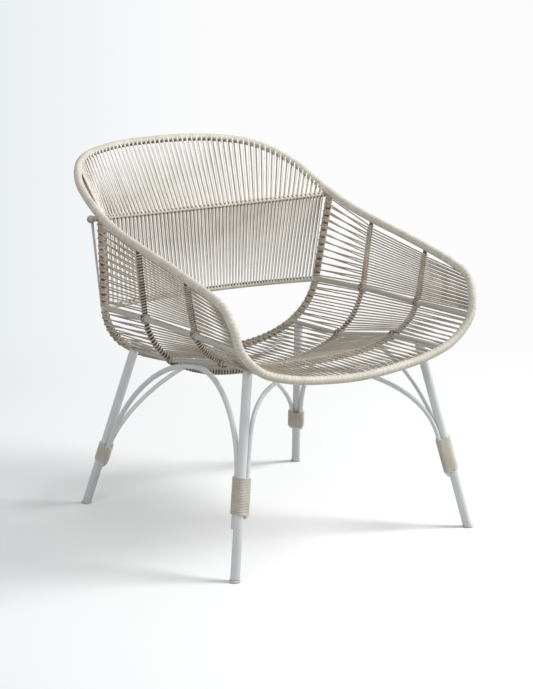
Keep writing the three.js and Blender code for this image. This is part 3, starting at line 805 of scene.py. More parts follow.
@dataclass
class Roots:
    """Where cords leave a wound tube, which presses its turns apart between them.

    The dents are darkened with painted shade.

    Attributes:
        lengths: Places along the tube, growing.
        facing: Way that the cords leave, one per place.
        narrow: How narrow the mark is round the tube.
        short: How short it is along the tube.
        dark: How deep the dents are, and how dark their painted shade is.
    """

    lengths: Array
    facing: Array
    narrow: float = 3.5
    short: float = 1.2
    dark: float = 1.5

    def marks(self, lengths: Array, spokes: Array) -> Array:
        """Depth of the marks, 0 to 1.

        It is sin ** 2 of half a turn per cord, to the power short, times the cosine of the
        angle to the cords' way, to the power narrow.

        Args:
            lengths: Stations of the tube, (n,).
            spokes: Unit directions of its places, (n, sides, 3).

        Returns:
            A depth for every place, (n, sides).
        """
        number = np.interp(lengths, self.lengths, np.arange(len(self.lengths)))
        inside = (lengths > self.lengths[0]) & (lengths < self.lengths[-1])
        way = read_off(lengths, self.lengths, self.facing)
        pulse = np.sin(math.pi * number) ** 2
        towards = np.clip(np.einsum("nsk,nk->ns", spokes, unit(way)), 0, 1)
        return (inside * pulse**self.short)[:, None] * towards**self.narrow


def wound(
    path: Path,
    lengths: Array,
    facing: Array,
    radius: float,
    pitch: float,
    depth: float,
    sides: int = ROD_SIDES,
    closed: bool = False,
    roots: Sequence[Roots] = (),
    shade: float = 0.0,
    murk: float = 0.35,
    variety: float = 0.08,
) -> Surface:
    """A tube that looks close wound with cord.

    The radius at length s and turn v is radius - depth * (1 - sqrt(1 - u * u)), where u runs
    from -1 to 1 over each turn of the cord, s / pitch - v. The crevices and the root marks get a
    darker tone, which is painted shade, and each turn of the cord a tone of its own.

    Args:
        path: Line of the tube.
        lengths: Lengths of its stations.
        facing: A direction that is never along the line, or one per station.
        radius: Radius over the cord.
        pitch: Advance of a turn.
        depth: Depth of the crevices.
        sides: Places round.
        closed: Whether the line is a loop.
        roots: Where other cords leave the winding.
        shade: Tone of the whole winding.
        murk: How much darker its crevices are painted, as painted shade.
        variety: How far a turn's own tone strays.

    Returns:
        The wound surface.
    """
    centres = path.at(lengths)
    spokes = rings_round(centres, facing, 1.0, 1.0, sides) - centres[:, None, :]
    phase = lengths[:, None] / pitch - np.arange(sides)[None, :] / sides
    turn = np.floor(phase).astype(int)
    u = 2 * (phase - turn) - 1
    sunk = 1 - np.sqrt(np.clip(1 - u * u, 0, 1))
    marks = sum((root.marks(lengths, spokes) * root.dark for root in roots), np.zeros_like(sunk))
    rings = centres[:, None, :] + (radius - depth * (sunk + marks))[..., None] * spokes
    surface = skin(rings[None], closed=closed)
    turn = turn - turn.min()
    varied = np.random.default_rng(RNG_SEED).uniform(-variety, variety, int(turn.max()) + 1)
    # Painted shade: crevices and root marks are painted darker, and a winding's own shade, set for
    # the ribs and the hoop, is painted shade as well.
    surface.tones[: sunk.size] = (varied[turn] - murk * sunk**2 - marks).ravel() + shade
    surface.tones[sunk.size :] = shade
    return surface


def ball(
    centre: Array,
    radius: float,
    cord_radius: float,
    turns: int = 7,
    turn_steps: int = 18,
    lift: float = 1.12,
    shades: tuple[float, float] = (-0.9, -0.35),
) -> Surface:
    """A knot that looks like a wound ball: centre + radius (cos a cos b, cos a sin b, sin a).

    Args:
        centre: Its middle.
        radius: From the middle to the middle of the inner winding's cord.
        cord_radius: Half the cord's thickness.
        turns: How often b goes round while a goes from pole to pole.
        turn_steps: Stations in a turn.
        lift: Size of the outer winding to the inner one.
        shades: Tones of the inner and the outer winding.

    Returns:
        Two such windings, the second turned square to the first.
    """
    share = np.linspace(0, 1, turns * turn_steps)
    a, b = math.pi * (share - 0.5), 2 * math.pi * turns * share
    shell = np.stack([np.cos(a) * np.cos(b), np.cos(a) * np.sin(b), np.sin(a)], axis=-1)
    both = np.stack([shell, lift * shell[:, [2, 0, 1]]])
    centres = centre + radius * both
    rings = rings_round(centres, both, cord_radius, cord_radius, WINDING_CORD_SIDES)
    return skin(rings, tones=np.array(shades))


@dataclass
class Lay:
    """Stations of a batch of cords.

    Attributes:
        centres: Middles of the cords, (cords, stations, 3).
        facing: Way that their flat side faces, (cords, stations, 3).
        high: Half their thickness, one per station.
        wide: Half their width, one per station.
    """

    centres: Array
    facing: Array
    high: Array
    wide: Array

    @staticmethod
    def along(parts: Sequence["Lay"]) -> "Lay":
        """The parts of the same cords, end to end."""
        return Lay(
            np.concatenate([part.centres for part in parts], axis=1),
            np.concatenate([part.facing for part in parts], axis=1),
            np.concatenate([part.high for part in parts]),
            np.concatenate([part.wide for part in parts]),
        )

    def strung(self, sides: int, tones: Array) -> Surface:
        """The cords' surface."""
        rings = rings_round(self.centres, self.facing, self.high, self.wide, sides)
        return skin(rings, tones=tones)


@dataclass(frozen=True)
class Cord:
    """The lacing cord.

    Attributes:
        radius: Half its thickness where it is round.
        flat: Half its thickness where it turns round a tube.
        spread: How far a cord's own tone strays.
        dive_depth: How far out its ends lie in a winding, to the winding's radius.
        dive_angles: Angles in degrees of its stations there.
    """

    radius: float = 0.0017
    flat: float = 0.0012
    sides: int = CORD_SIDES
    spread: float = 0.09
    dive_depth: float = 0.58
    dive_angles: tuple[float, ...] = (-20.0, 0.0, 20.0, 45.0)

    def turn(
        self,
        centres: Array,
        side: Array,
        heading: Array,
        reach: Array,
        angles: Array,
        flatness: float = 1.0,
    ) -> Lay:
        """Cords that turn round tubes.

        A cord at angle q is at centre + reach * (cos q side + sin q heading).

        Args:
            centres: Middle of the tube at each angle, (cords, angles, 3).
            side: Where the turn starts, (cords, 3).
            heading: Which way it starts off, (cords, 3).
            reach: Distance from the tube's middle, one or one per angle.
            angles: Angles of the turn.
            flatness: Half thickness over half width, 1 for round.

        Returns:
            The stations of the turn.
        """
        cosine, sine = np.cos(angles)[:, None], np.sin(angles)[:, None]
        spoke = cosine * side[:, None, :] + sine * heading[:, None, :]
        reach = np.broadcast_to(np.asarray(reach, float), angles.shape)
        size = np.ones(len(angles))
        places = centres + reach[:, None] * spoke
        return Lay(places, spoke, flatness * self.radius * size, self.radius * size)

    def pressed(
        self, centres: Array, side: Array, heading: Array, reach: Array, angles: Array
    ) -> Lay:
        """A turn in which the cord lies flat; the arguments are those of turn."""
        return self.turn(centres, side, heading, reach, angles, self.flat / self.radius)

    def dive(self, middle: Array, side: Array, heading: Array, wrap_radius: float) -> Lay:
        """The cords' ends, which go into a winding and stay inside it.

        Args:
            middle: Middle of the wound tube, (cords, 3).
            side: Side of it that the cord keeps to.
            heading: Way that the cord comes.
            wrap_radius: Radius of the winding.

        Returns:
            The stations of the ends.
        """
        angles = np.radians(np.array(self.dive_angles))
        centres = np.repeat(middle[:, None], len(angles), axis=1)
        return self.turn(centres, side, heading, self.dive_depth * wrap_radius, angles)

    def span(
        self,
        start: Lay,
        end: Lay,
        rng: np.random.Generator,
        slack: float = 0.0004,
        steps: int = 3,
    ) -> Lay:
        """Straight runs from the end of one turn to the start of the next, a little uneven.

        Args:
            start: Turn that the runs leave.
            end: Turn that they reach.
            rng: Source of the unevenness.
            slack: How far the middle may stray.
            steps: Stations between the two.

        Returns:
            The stations of the runs.
        """
        share = (np.arange(steps) + 1) / (steps + 1)
        a, b = start.centres[:, -1:], end.centres[:, :1]
        stray = rng.uniform(-slack, slack, (len(a), 1, 1)) * np.sin(math.pi * share)[:, None]
        facing = between(start.facing[:, -1:], end.facing[:, :1], share)
        centres = between(a, b, share) + stray * facing
        size = np.full(steps, self.radius)
        return Lay(centres, facing, size, size)

    def tones(self, count: int, rng: np.random.Generator) -> Array:
        """A shade for each cord, as a share of its brightness."""
        return rng.uniform(-self.spread, self.spread, count)


# The right half of the rim, from the top of the back to the middle of the front edge, in shares
# of its half width, of its reach and of its rise from the front edge to the top.
RIM_SHARES = (
    (0, 1, 1),
    (0.438, 0.975, 0.988),
    (0.751, 0.882, 0.944),
    (0.915, 0.697, 0.858),
    (0.969, 0.459, 0.748),
    (0.987, 0.202, 0.662),
    (0.99, -0.052, 0.607),
    (0.995, -0.344, 0.556),
    (1, -0.569, 0.512),
    (1, -0.799, 0.461),
    (0.998, -0.915, 0.419),
    (0.979, -0.975, 0.329),
    (0.949, -0.997, 0.228),
    (0.885, -1, 0.163),
    (0.767, -1, 0.094),
    (0.59, -1, 0.049),
    (0.393, -1, 0.022),
    (0, -1, 0),
)


@dataclass
class Rim:
    """The wrapped loop that is the arms, the top of the back and the front edge of the seat.

    Attributes:
        half_width: From the middle to the tube's middle at the widest.
        reach: The same to the front and to the rear.
        top_height: Height of the tube's middle at the top of the back.
        front_height: The same at the front edge of the seat.
        path: The loop, by signed length from the top of the back, right side positive.
    """

    half_width: float = 0.305
    reach: float = 0.3734
    top_height: float = 0.776
    front_height: float = 0.375
    tube_radius: float = 0.007
    wrap_radius: float = 0.0088
    cord_pitch: float = 0.0037
    cord_relief: float = 0.0007
    run_steps: int = 120
    tube_stations: int = 360
    turn_stations: int = 5
    path: Path = field(init=False)

    def __post_init__(self) -> None:
        """Works out the loop and half its length."""
        across, along, rise = np.array(RIM_SHARES).T
        height = self.front_height + rise * (self.top_height - self.front_height)
        right = np.stack([across * self.half_width, along * self.reach, height], axis=-1)
        corners = np.concatenate([right, mirrored(right[1:-1][::-1])])
        half = rounded_loop(corners, self.run_steps)[: (len(right) - 1) * self.run_steps + 1]
        self.path = Path.both_sides(half)
        self.half = Path(half).length

    def at(self, lengths: Array) -> Array:
        """Points by signed length, past the front middle too."""
        return self.path.at((np.asarray(lengths, float) + self.half) % (2 * self.half) - self.half)

    def heading(self, lengths: Array, reach: float = 0.004) -> Array:
        """Directions of growing length."""
        lengths = np.asarray(lengths, float)
        return unit(self.at(lengths + reach) - self.at(lengths - reach))

    def facing(self, centres: Array) -> Array:
        """Outward and level directions, square to the loop."""
        ahead = np.roll(centres, -1, axis=0) - np.roll(centres, 1, axis=0)
        return unit(np.cross(ahead, UP))

    def build(self, roots: Sequence[Roots]) -> None:
        """Makes the tube and its cord wrap, marked where the panels' cords leave it.

        Args:
            roots: Those marks.
        """
        coarse = np.linspace(-self.half, self.half, self.tube_stations, endpoint=False)
        centres = self.at(coarse)
        radius = self.tube_radius
        rings = rings_round(centres, self.facing(centres), radius, radius, ROD_SIDES)
        Piece("rim_tube", skin(rings[None], closed=True)).dress(PAINT)
        turns = round(2 * self.half / self.cord_pitch)
        fine = np.linspace(-self.half, self.half, self.turn_stations * turns, endpoint=False)
        wrap = wound(
            self.path,
            fine,
            self.facing(self.at(fine)),
            self.wrap_radius,
            2 * self.half / turns,
            self.cord_relief,
            TUBE_SIDES,
            closed=True,
            roots=roots,
        )
        Piece("rim_cord_wrap", wrap).dress(RIM_CORD)


@dataclass(frozen=True)
class Lashing:
    """Crossed turns of cord over the place where a rail meets a cradle.

    Attributes:
        grip: Size of each turn to the rail's radius.
        rise: How much taller than that the turn's middle lies.
        length: How much longer it lies.
        spacing: From one turn to the next beside it.
        high: Half the cord's thickness.
        wide: Half its width.
    """

    grip: float = 1.3
    rise: float = 0.0012
    length: float = 0.0030
    spacing: float = 0.0023
    high: float = 0.0011
    wide: float = 0.0013
    steps: int = 28
    tones: tuple[float, ...] = (-0.95, -0.35, -0.8, -0.75, -0.25, -0.95)

    def over(self, cradle: "Cradle", place: float) -> Surface:
        """The turns over one crossing.

        Each turn is an oval round both: centre + tall cos q normal + long sin q diagonal.

        Args:
            cradle: The cradle that the rail crosses.
            place: Length along it.

        Returns:
            The surface of the turns.
        """
        centre = cradle.path.at(np.array([place]))[0]
        along = cradle.path.heading(np.array([place]))[0]
        normal = cradle.sitterward(np.array([place]))[0]
        angle = np.linspace(0, 2 * math.pi, self.steps)
        tall = self.grip * SIDE_RAIL_RADIUS + self.rise
        long = self.grip * SIDE_RAIL_RADIUS + self.length
        shifts = self.spacing * np.array([-1.0, 0.0, 1.0])
        turns = []
        for lean in (-1, 1):
            diagonal = unit(along + lean * cradle.plane)
            beside = np.cross(normal, diagonal)
            oval = tall * np.cos(angle)[:, None] * normal + long * np.sin(angle)[:, None] * diagonal
            turns.append(centre + oval[None] + shifts[:, None, None] * beside)
        centres = np.concatenate(turns)
        rings = rings_round(centres, centres - centre, self.high, self.wide, CORD_SIDES)
        return skin(rings, tones=np.array(self.tones))


@dataclass
class Cradle:
    """A hoop or rib under the seat: half a superellipse, and straight flared sides above it.

    Attributes:
        station: Its y at the shoulder.
        lean: Growth of its y with height.
        shoulder_half: Half its width at the shoulder.
        floor_height: Height of its lowest point.
        squareness: The superellipse's power.
        shoulder_height: Height where the straight sides start.
        side_height: Height at which the side rails cross it.
        seat_half: Half the width at which the seat rails cross it.
        core: What the cord is wound on.
        murk: How much darker its crevices are painted, as painted shade.
        collar_half: Half the length of the bare joint where a hoop's rails are welded.
        lashing: The turns of cord over a rib's crossings.
        path: Its line, by signed length from the middle of the seat, right side positive.
    """

    rim: Rim
    name: str
    station: float
    lean: float
    shoulder_half: float
    floor_height: float
    squareness: float
    shoulder_height: float = 0.490
    side_height: float = 0.464
    seat_half: float = 0.218
    core: Core = Core.ROD
    core_radius: float = 0.0038
    wrap_radius: float = 0.0046
    pitch: float = 0.0034
    relief: float = 0.0009
    # Painted shade: a rib's wrap is painted dark all over and darker in its crevices, for the shade
    # among the cords round it.
    shade: float = -1.0
    murk: float = 0.9
    half_steps: int = 1001
    core_stations: int = 160
    turn_stations: int = 6
    collar_half: float = 0.006
    collar_stations: int = 7
    lashing: Lashing = Lashing()
    path: Path = field(init=False)

    def __post_init__(self) -> None:
        """Works out the cradle's line and the places on it.

        Height is shoulder - drop * |cos q| ** p and half width is (shoulder half + flare) *
        sin q ** p, where p is 2 / squareness.
        """
        points = self.rim.path.points
        edge = self.station + self.lean * (points[:, 2] - self.shoulder_height)
        self.rim_length = self.rim.path.where(points[:, 1] <= edge)
        self.top = self.rim.at(self.rim_length)
        flare = (self.top[0] - self.shoulder_half) / (self.top[2] - self.shoulder_height)
        angle = np.linspace(0, math.pi / 2, self.half_steps)
        power = 2 / self.squareness
        drop = self.shoulder_height - self.floor_height
        z = self.shoulder_height - drop * np.abs(np.cos(angle)) ** power
        x = (self.shoulder_half + flare * (z - self.shoulder_height)) * np.sin(angle) ** power
        y = self.station + self.lean * (z - self.shoulder_height)
        half = np.concatenate([np.stack([x, y, z], axis=-1), self.top[None]])
        self.path = Path.both_sides(half)
        self.length = Path(half).length
        self.side_length = self.path.where(self.path.points[:, 2] >= self.side_height)
        self.seat_length = self.path.where(self.path.points[:, 0] >= self.seat_half)
        self.plane = unit(np.array([0.0, 1.0, -self.lean]))

    def sitterward(self, lengths: Array) -> Array:
        """Directions square to the cradle, in its own plane, towards the sitter."""
        return unit(np.cross(self.path.heading(lengths), self.plane))

    def build(self, roots: Sequence[Roots] = ()) -> None:
        """Makes the tube or rod and the cord wound on it, marked where panels' cords leave it.

        Args:
            roots: Those marks.
        """
        ends = self.length - self.rim.tube_radius
        coarse = np.linspace(-ends, ends, self.core_stations)
        core = tube(self.path.at(coarse), self.plane, self.core_radius, ROD_SIDES)
        fine = np.linspace(-ends, ends, round(self.turn_stations * 2 * ends / self.pitch))
        wrap = wound(
            self.path,
            fine,
            self.plane,
            self.wrap_radius,
            self.pitch,
            self.relief,
            roots=roots,
            shade=self.shade,
            murk=self.murk,
        )
        if self.core is Core.ROD:
            crossings = (self.side_length, self.seat_length)
            places = [side.value * at for side in Side for at in crossings]
            wrap = Surface.joined([wrap, *(self.lashing.over(self, place) for place in places)])
        else:
            collars = [self._collar(side.value * self.side_length) for side in Side]
            core = Surface.joined([core, *collars])
        Piece(f"{self.name}_{self.core.value}", core).dress(PAINT)
        Piece(f"{self.name}_cord_wrap", wrap).dress(LACING)

    def _collar(self, place: float) -> Surface:
        """The bare painted joint between turns of the wrap, where the rails are welded."""
        reach = self.collar_half
        lengths = place + np.linspace(-reach, reach, self.collar_stations)
        return tube(self.path.at(lengths), self.plane, self.wrap_radius + GAP)


@dataclass
class Rails:
    """The side rails and seat rails that join the cradles to each other and to the rim.

    Attributes:
        cradles: The hoop and the ribs that they cross, from rear to front.
        weld_share: Share of a run, at each end, that has stations for the weld.
        weld_width: Length over which the weld falls off, to the rail's radius.
        weld_swell: How much the weld adds to the radius, to the rail's radius.
    """

    rim: Rim
    cradles: Sequence[Cradle]
    side_radius: float = SIDE_RAIL_RADIUS
    seat_radius: float = 0.005
    weld_share: float = 0.12
    weld_stations: int = 9
    weld_width: float = 0.35
    weld_swell: float = 0.3

    def __post_init__(self) -> None:
        """Finds where the rails cross the cradles and reach the rim."""
        path, front = self.rim.path, self.cradles[-1]
        ahead = path.points[:, 1] < front.station
        self.side_rim_length = path.where(ahead & (path.points[:, 2] <= front.side_height))
        self.seat_rim_length = path.where(ahead & (path.points[:, 0] <= front.seat_half))
        self.side_nodes = self._nodes([c.side_length for c in self.cradles], self.side_rim_length)
        self.seat_nodes = self._nodes([c.seat_length for c in self.cradles], self.seat_rim_length)

    def _nodes(self, lengths: Sequence[float], rim_length: float) -> Array:
        """The right-hand places where one rail crosses the cradles and meets the rim."""
        crossed = [c.path.at(np.array([length]))[0] for c, length in zip(self.cradles, lengths)]
        return np.array([*crossed, self.rim.at(rim_length)])

    def seat_point(self, y: float) -> Array:
        """Place on the right seat rail at a depth of the chair."""
        nodes = self.seat_nodes[::-1]
        return read_off(y, nodes[:, 1], nodes)

    def build(self) -> None:
        """Makes every bay of the rails, each with a fillet of weld at its ends."""
        kinds = (
            ("side", self.side_nodes, self.side_radius),
            ("seat", self.seat_nodes, self.seat_radius),
        )
        for side in Side:
            for kind, nodes, radius in kinds:
                for bay, *ends in zip(("rear", "middle", "front"), nodes[:-1], nodes[1:]):
                    name = f"{side.word}_{kind}_rail_{bay}"
                    self._bay(name, mirrored(np.array(ends), side), radius)

    def _bay(self, name: str, ends: Array, radius: float) -> None:
        """One straight run, whose radius swells to a weld near its ends.

        The radius at distances a and b from the cradles or rim at its ends is
        radius * (1 + swell * (exp(-a / width) + exp(-b / width))).

        Args:
            name: Name of the bay's node.
            ends: Its two ends, (2, 3).
            radius: The rail's radius.
        """
        welded = self.weld_share, self.weld_stations
        share = np.concatenate([np.linspace(0, *welded), 1 - np.linspace(0, *welded)[::-1]])
        run = np.linalg.norm(ends[1] - ends[0])
        inset = self.cradles[0].wrap_radius
        reach = np.stack([share * run, (1 - share) * run]) - inset
        swell = np.exp(-np.maximum(reach, 0) / (self.weld_width * radius)).sum(axis=0)
        size = radius * (1 + self.weld_swell * swell)
        centres = between(ends[:1], ends[1:], share)
        surface = skin(rings_round(centres, UP, size, size, TUBE_SIDES)[None])
        # The rails' paint carries painted shade and reflected light.
        Piece(name, surface).dress(SHADED_RAIL_PAINT)


@dataclass
class BackRails:
    """The mid back rail under the rim and the lower back rail that bows to the rear, both wound.

    Attributes:
        overhang: How far the mid rail runs past the hoop on each side.
        bow: How far the lower rail's middle stands behind its ends.
        knot_radius: Radius of the wound knots on the mid rail's ends.
        knot_cord_radius: Half the thickness of their cord.
        knot_inset: From the mid rail's end to a knot's middle.
        rod_inset: How far the rods end inside their wraps.
    """

    rim: Rim
    hoop: Cradle
    rails: Rails
    rod_radius: float = 0.0045
    wrap_radius: float = 0.0062
    overhang: float = 0.022
    bow: float = 0.039
    cord_pitch: float = 0.0036
    cord_relief: float = 0.0006
    knot_radius: float = 0.0064
    knot_cord_radius: float = 0.0016
    knot_inset: float = 0.006
    rod_inset: float = 0.001
    mid_steps: int = 200
    low_steps: int = 400
    rod_stations: int = 40
    turn_stations: int = 6

    def __post_init__(self) -> None:
        """Works out both rails by x."""
        top = self.hoop.top
        slope = self.rim.heading(self.hoop.rim_length)
        y = top[1] + self.hoop.wrap_radius + GAP + self.wrap_radius
        rim_z = top[2] + (y - top[1]) * slope[2] / slope[1]
        steepness = math.hypot(slope[1], slope[2]) / abs(slope[1])
        drop = (self.rim.tube_radius + self.rod_radius) * steepness
        half = top[0] + self.overhang
        self.mid_half = half
        self.mid = np.array([half, y, rim_z - drop])
        self.mid_path = Path(self.mid_at(np.linspace(-half, half, self.mid_steps)), -half)
        self.low_half = self.rails.side_nodes[0][0]
        x = np.linspace(-self.low_half, self.low_half, self.low_steps)
        self.low_path = Path(self.low_at(x), -Path(self.low_at(x)).length / 2)

    def mid_at(self, x: Array) -> Array:
        """Points of the mid rail."""
        return np.stack([x, np.full_like(x, self.mid[1]), np.full_like(x, self.mid[2])], axis=-1)

    def low_at(self, x: Array) -> Array:
        """Points of the lower rail: y = node + bow * (1 - (x / half) ** 2)."""
        node = self.rails.side_nodes[0]
        y = node[1] + self.bow * (1 - (x / self.low_half) ** 2)
        return np.stack([x, y, np.full_like(x, node[2])], axis=-1)

    def build(self, mid_roots: Sequence[Roots], low_roots: Sequence[Roots]) -> None:
        """Makes the rods and their wraps.

        Args:
            mid_roots: Where the panels' cords leave the mid rail.
            low_roots: Where they leave the lower one.
        """
        knot_at = self.mid_at(np.array([self.mid_half - self.knot_inset]))[0]
        knots = [
            ball(mirrored(knot_at, side), self.knot_radius, self.knot_cord_radius) for side in Side
        ]
        for name, path, roots, extra in (
            ("mid_back_rail", self.mid_path, mid_roots, knots),
            ("lower_back_rail", self.low_path, low_roots, []),
        ):
            end = path.length / 2
            coarse = np.linspace(-end + self.rod_inset, end - self.rod_inset, self.rod_stations)
            rod = tube(path.at(coarse), UP, self.rod_radius, ROD_SIDES)
            Piece(f"{name}_rod", rod).dress(PAINT)
            fine = np.linspace(-end, end, round(self.turn_stations * 2 * end / self.cord_pitch))
            size = (self.wrap_radius, self.cord_pitch, self.cord_relief, TUBE_SIDES)
            wrap = wound(path, fine, UP, *size, roots=roots)
            Piece(f"{name}_cord_wrap", Surface.joined([wrap, *extra])).dress(RAIL_CORD)


@dataclass
class CradledPanel:
    """Cords that run fore and aft from the hoop, once round each rib, into the rim.

    Attributes:
        spans: The first and last cord's length along the hoop and along each rib.
        rim_span: The same along the rim.
        rim_bias: Power of a cord's share of the rim's span, 1 for even spacing.
        side: Side of the chair that the panel is on; the seat counts as right.
        pair_gap: Half the gap between two cords that meet at the hoop.
        loop_advance: How far a cord moves on along a rib in its turn round it.
        press: How far the cords lie sunk in the hoop's wrap.
        tuck: How much further where two of them meet.
        hoop_degrees: How far they turn round the hoop.
        forwardness: How far their marks on the hoop's faces are turned to the front.
    """

    name: str
    rim: Rim
    hoop: Cradle
    ribs: Sequence[Cradle]
    count: int
    spans: Sequence[Sequence[float]]
    rim_span: Sequence[float]
    rim_bias: float = 1.0
    side: Side = Side.RIGHT
    # Painted shade: the side and seat cords are painted darker than the back's, for the shade that
    # they lie in.
    shade: float = -0.42
    pair_gap: float = 0.0012
    loop_advance: float = 0.0032
    press: float = 0.0006
    tuck: float = 0.0004
    hoop_degrees: float = 95.0
    forwardness: float = 1.2
    hoop_steps: int = 8
    loop_steps: int = 17

    def __post_init__(self) -> None:
        """Works out each cord's place on the hoop, the ribs and the rim."""
        number = np.arange(self.count)
        odd = number % 2 == 1
        share = number / (self.count - 1)
        self.at = [start + (end - start) * share for start, end in self.spans]
        self.turning = math.copysign(1.0, self.spans[0][1] - self.spans[0][0])
        paired = (number > 0) & (number < self.count - 1)
        closing = abs(self.at[0][1] - self.at[0][0]) / 2 - self.pair_gap
        self.partner = self.turning * np.where(odd, 1, -1) * paired
        self.at[0] = self.at[0] + closing * self.partner
        self.layer = np.where(odd, Layer.INNER.value, Layer.OUTER.value)[:, None]
        start, end = self.rim_span
        self.at_rim = start + (end - start) * share**self.rim_bias

    def rim_roots(self) -> list[Roots]:
        """Marks on the rim between the cords; lengths past the front middle count twice."""
        away = unit(self.ribs[-1].path.at(self.at[-1]) - self.rim.at(self.at_rim))
        if self.side is Side.LEFT:
            return [Roots(-self.at_rim[::-1], mirrored(away, self.side)[::-1])]
        return [Roots(self.at_rim, away), Roots(self.at_rim - 2 * self.rim.half, away)]

    def hoop_roots(self) -> list[Roots]:
        """Marks on the inner and the outer face of the hoop between the pairs of cords."""
        lengths = np.sort(self.at[0][1::2] * self.side.value)
        inner = self.hoop.sitterward(lengths)
        ahead = -self.forwardness * np.broadcast_to(REARWARDS, inner.shape)
        return [
            Roots(lengths, unit(face + ahead), narrow=4.0, short=8.0, dark=0.8)
            for face in (inner, -inner)
        ]

    def build(self, cord: Cord, rng: np.random.Generator) -> None:
        """Strings the panel.

        Args:
            cord: The lacing cord.
            rng: Source of the unevenness.
        """
        parts = [self._hoop_turn(cord)]
        for rib, lengths in zip(self.ribs, self.at[1:]):
            loop = self._rib_loop(cord, rib, lengths)
            parts += [cord.span(parts[-1], loop, rng), loop]
        dive = self._rim_dive(cord, parts[-1])
        lay = Lay.along([*parts, cord.span(parts[-1], dive, rng), dive])
        lay.centres = mirrored(lay.centres, self.side)
        lay.facing = mirrored(lay.facing, self.side)
        # Each cord's own tone, darkened by the panel's painted shade.
        surface = lay.strung(cord.sides, cord.tones(self.count, rng) + self.shade)
        Piece(f"{self.name}_cord_panel", surface).dress(LACING)

    def _hoop_turn(self, cord: Cord) -> Lay:
        """A quarter turn from behind the hoop, where two cords meet, to the side of the panel.

        Args:
            cord: The lacing cord.

        Returns:
            The stations of the turns.
        """
        angles = np.radians(np.linspace(-self.hoop_degrees, 0, self.hoop_steps))
        drift = np.linspace(1, 0, len(angles)) ** 2 * self.pair_gap
        lengths = self.at[0]
        centres = self.hoop.path.at(lengths[:, None] + self.partner[:, None] * drift)
        side = self.layer * self.hoop.sitterward(lengths)
        forwards = -np.broadcast_to(REARWARDS, side.shape)
        sink = self.press + np.linspace(self.tuck, 0, len(angles))
        reach = self.hoop.wrap_radius + cord.flat - sink
        return cord.pressed(centres, side, forwards, reach, angles)

    def _rib_loop(self, cord: Cord, rib: Cradle, lengths: Array) -> Lay:
        """One full turn round a rib from its inner face, which moves on by a cord's width.

        Args:
            cord: The lacing cord.
            rib: The rib.
            lengths: Each cord's place along it.

        Returns:
            The stations of the turns.
        """
        angles = np.linspace(0, 2 * math.pi, self.loop_steps)
        advance = self.turning * self.loop_advance * (angles / (2 * math.pi) - 0.5)
        centres = rib.path.at(lengths[:, None] + advance[None, :])
        side = rib.sitterward(lengths)
        forwards = -np.broadcast_to(rib.plane, side.shape)
        return cord.pressed(centres, side, forwards, rib.wrap_radius + cord.flat, angles)

    def _rim_dive(self, cord: Cord, before: Lay) -> Lay:
        """Into the rim's wrap, between its turns.

        Args:
            cord: The lacing cord.
            before: The turns that the cords come from.

        Returns:
            The stations of the ends.
        """
        middle, along = self.rim.at(self.at_rim), self.rim.heading(self.at_rim)
        heading = square_to(middle - before.centres[:, -1], along)
        side = self.layer * np.cross(along, heading)
        return cord.dive(middle, side, heading, self.rim.wrap_radius)


@dataclass
class BackPanel:
    """Cords laced to and fro between two wound tubes, in a front layer and a rear layer.

    Attributes:
        high: Each cord's place on the upper tube, (cords, 3).
        high_along: That tube's direction there.
        low: Each cord's place on the lower tube.
        low_along: That tube's direction there.
    """

    name: str
    high: Array
    high_along: Array
    high_radius: float
    low: Array
    low_along: Array
    low_radius: float
    # Painted light and shade: the front cords are painted lighter, as if lit, and the rear ones
    # darker, as if in shade.
    front_shade: float = 0.15
    rear_shade: float = -0.4

    def roots(self, lengths: Array, upper: bool) -> Roots:
        """Marks on one of its tubes between its front cords.

        Args:
            lengths: Every cord's place on the tube, falling.
            upper: Whether the tube is the upper one.

        Returns:
            The marks.
        """
        picked = lengths[-2::-2]
        facing = unit((-UP if upper else UP) - REARWARDS)
        facings = np.broadcast_to(facing, (len(picked), 3))
        return Roots(picked, facings, narrow=8.0, short=2.0, dark=1.5)

    def build(self, cord: Cord, rng: np.random.Generator, extra: Sequence[Surface] = ()) -> None:
        """Strings the panel; even places are front strands and odd places rear ones.

        Args:
            cord: The lacing cord.
            rng: Source of the unevenness.
            extra: Other cords that belong to the same piece.
        """
        count = len(self.high)
        front = (np.arange(count) % 2 == 0)[:, None]
        down = unit(self.low - self.high)
        ends = []
        for middle, along, radius, heading in (
            (self.high, self.high_along, self.high_radius, -down),
            (self.low, self.low_along, self.low_radius, down),
        ):
            heading = square_to(heading, along)
            side = unit(np.cross(along, heading))
            side = side * -np.sign(side[:, 1:2]) * np.where(front, 1, -1)
            ends.append(cord.dive(middle, side, heading, radius))
        top, bottom = ends
        top = Lay(top.centres[:, ::-1], top.facing[:, ::-1], top.high, top.wide)
        lay = Lay.along([top, cord.span(top, bottom, rng), bottom])
        # Front cords carry painted light, rear cords painted shade.
        shades = np.where(front[:, 0], self.front_shade, self.rear_shade)
        surface = lay.strung(cord.sides, cord.tones(count, rng) + shades)
        Piece(f"{self.name}_cord_panel", Surface.joined([surface, *extra])).dress(LACING)


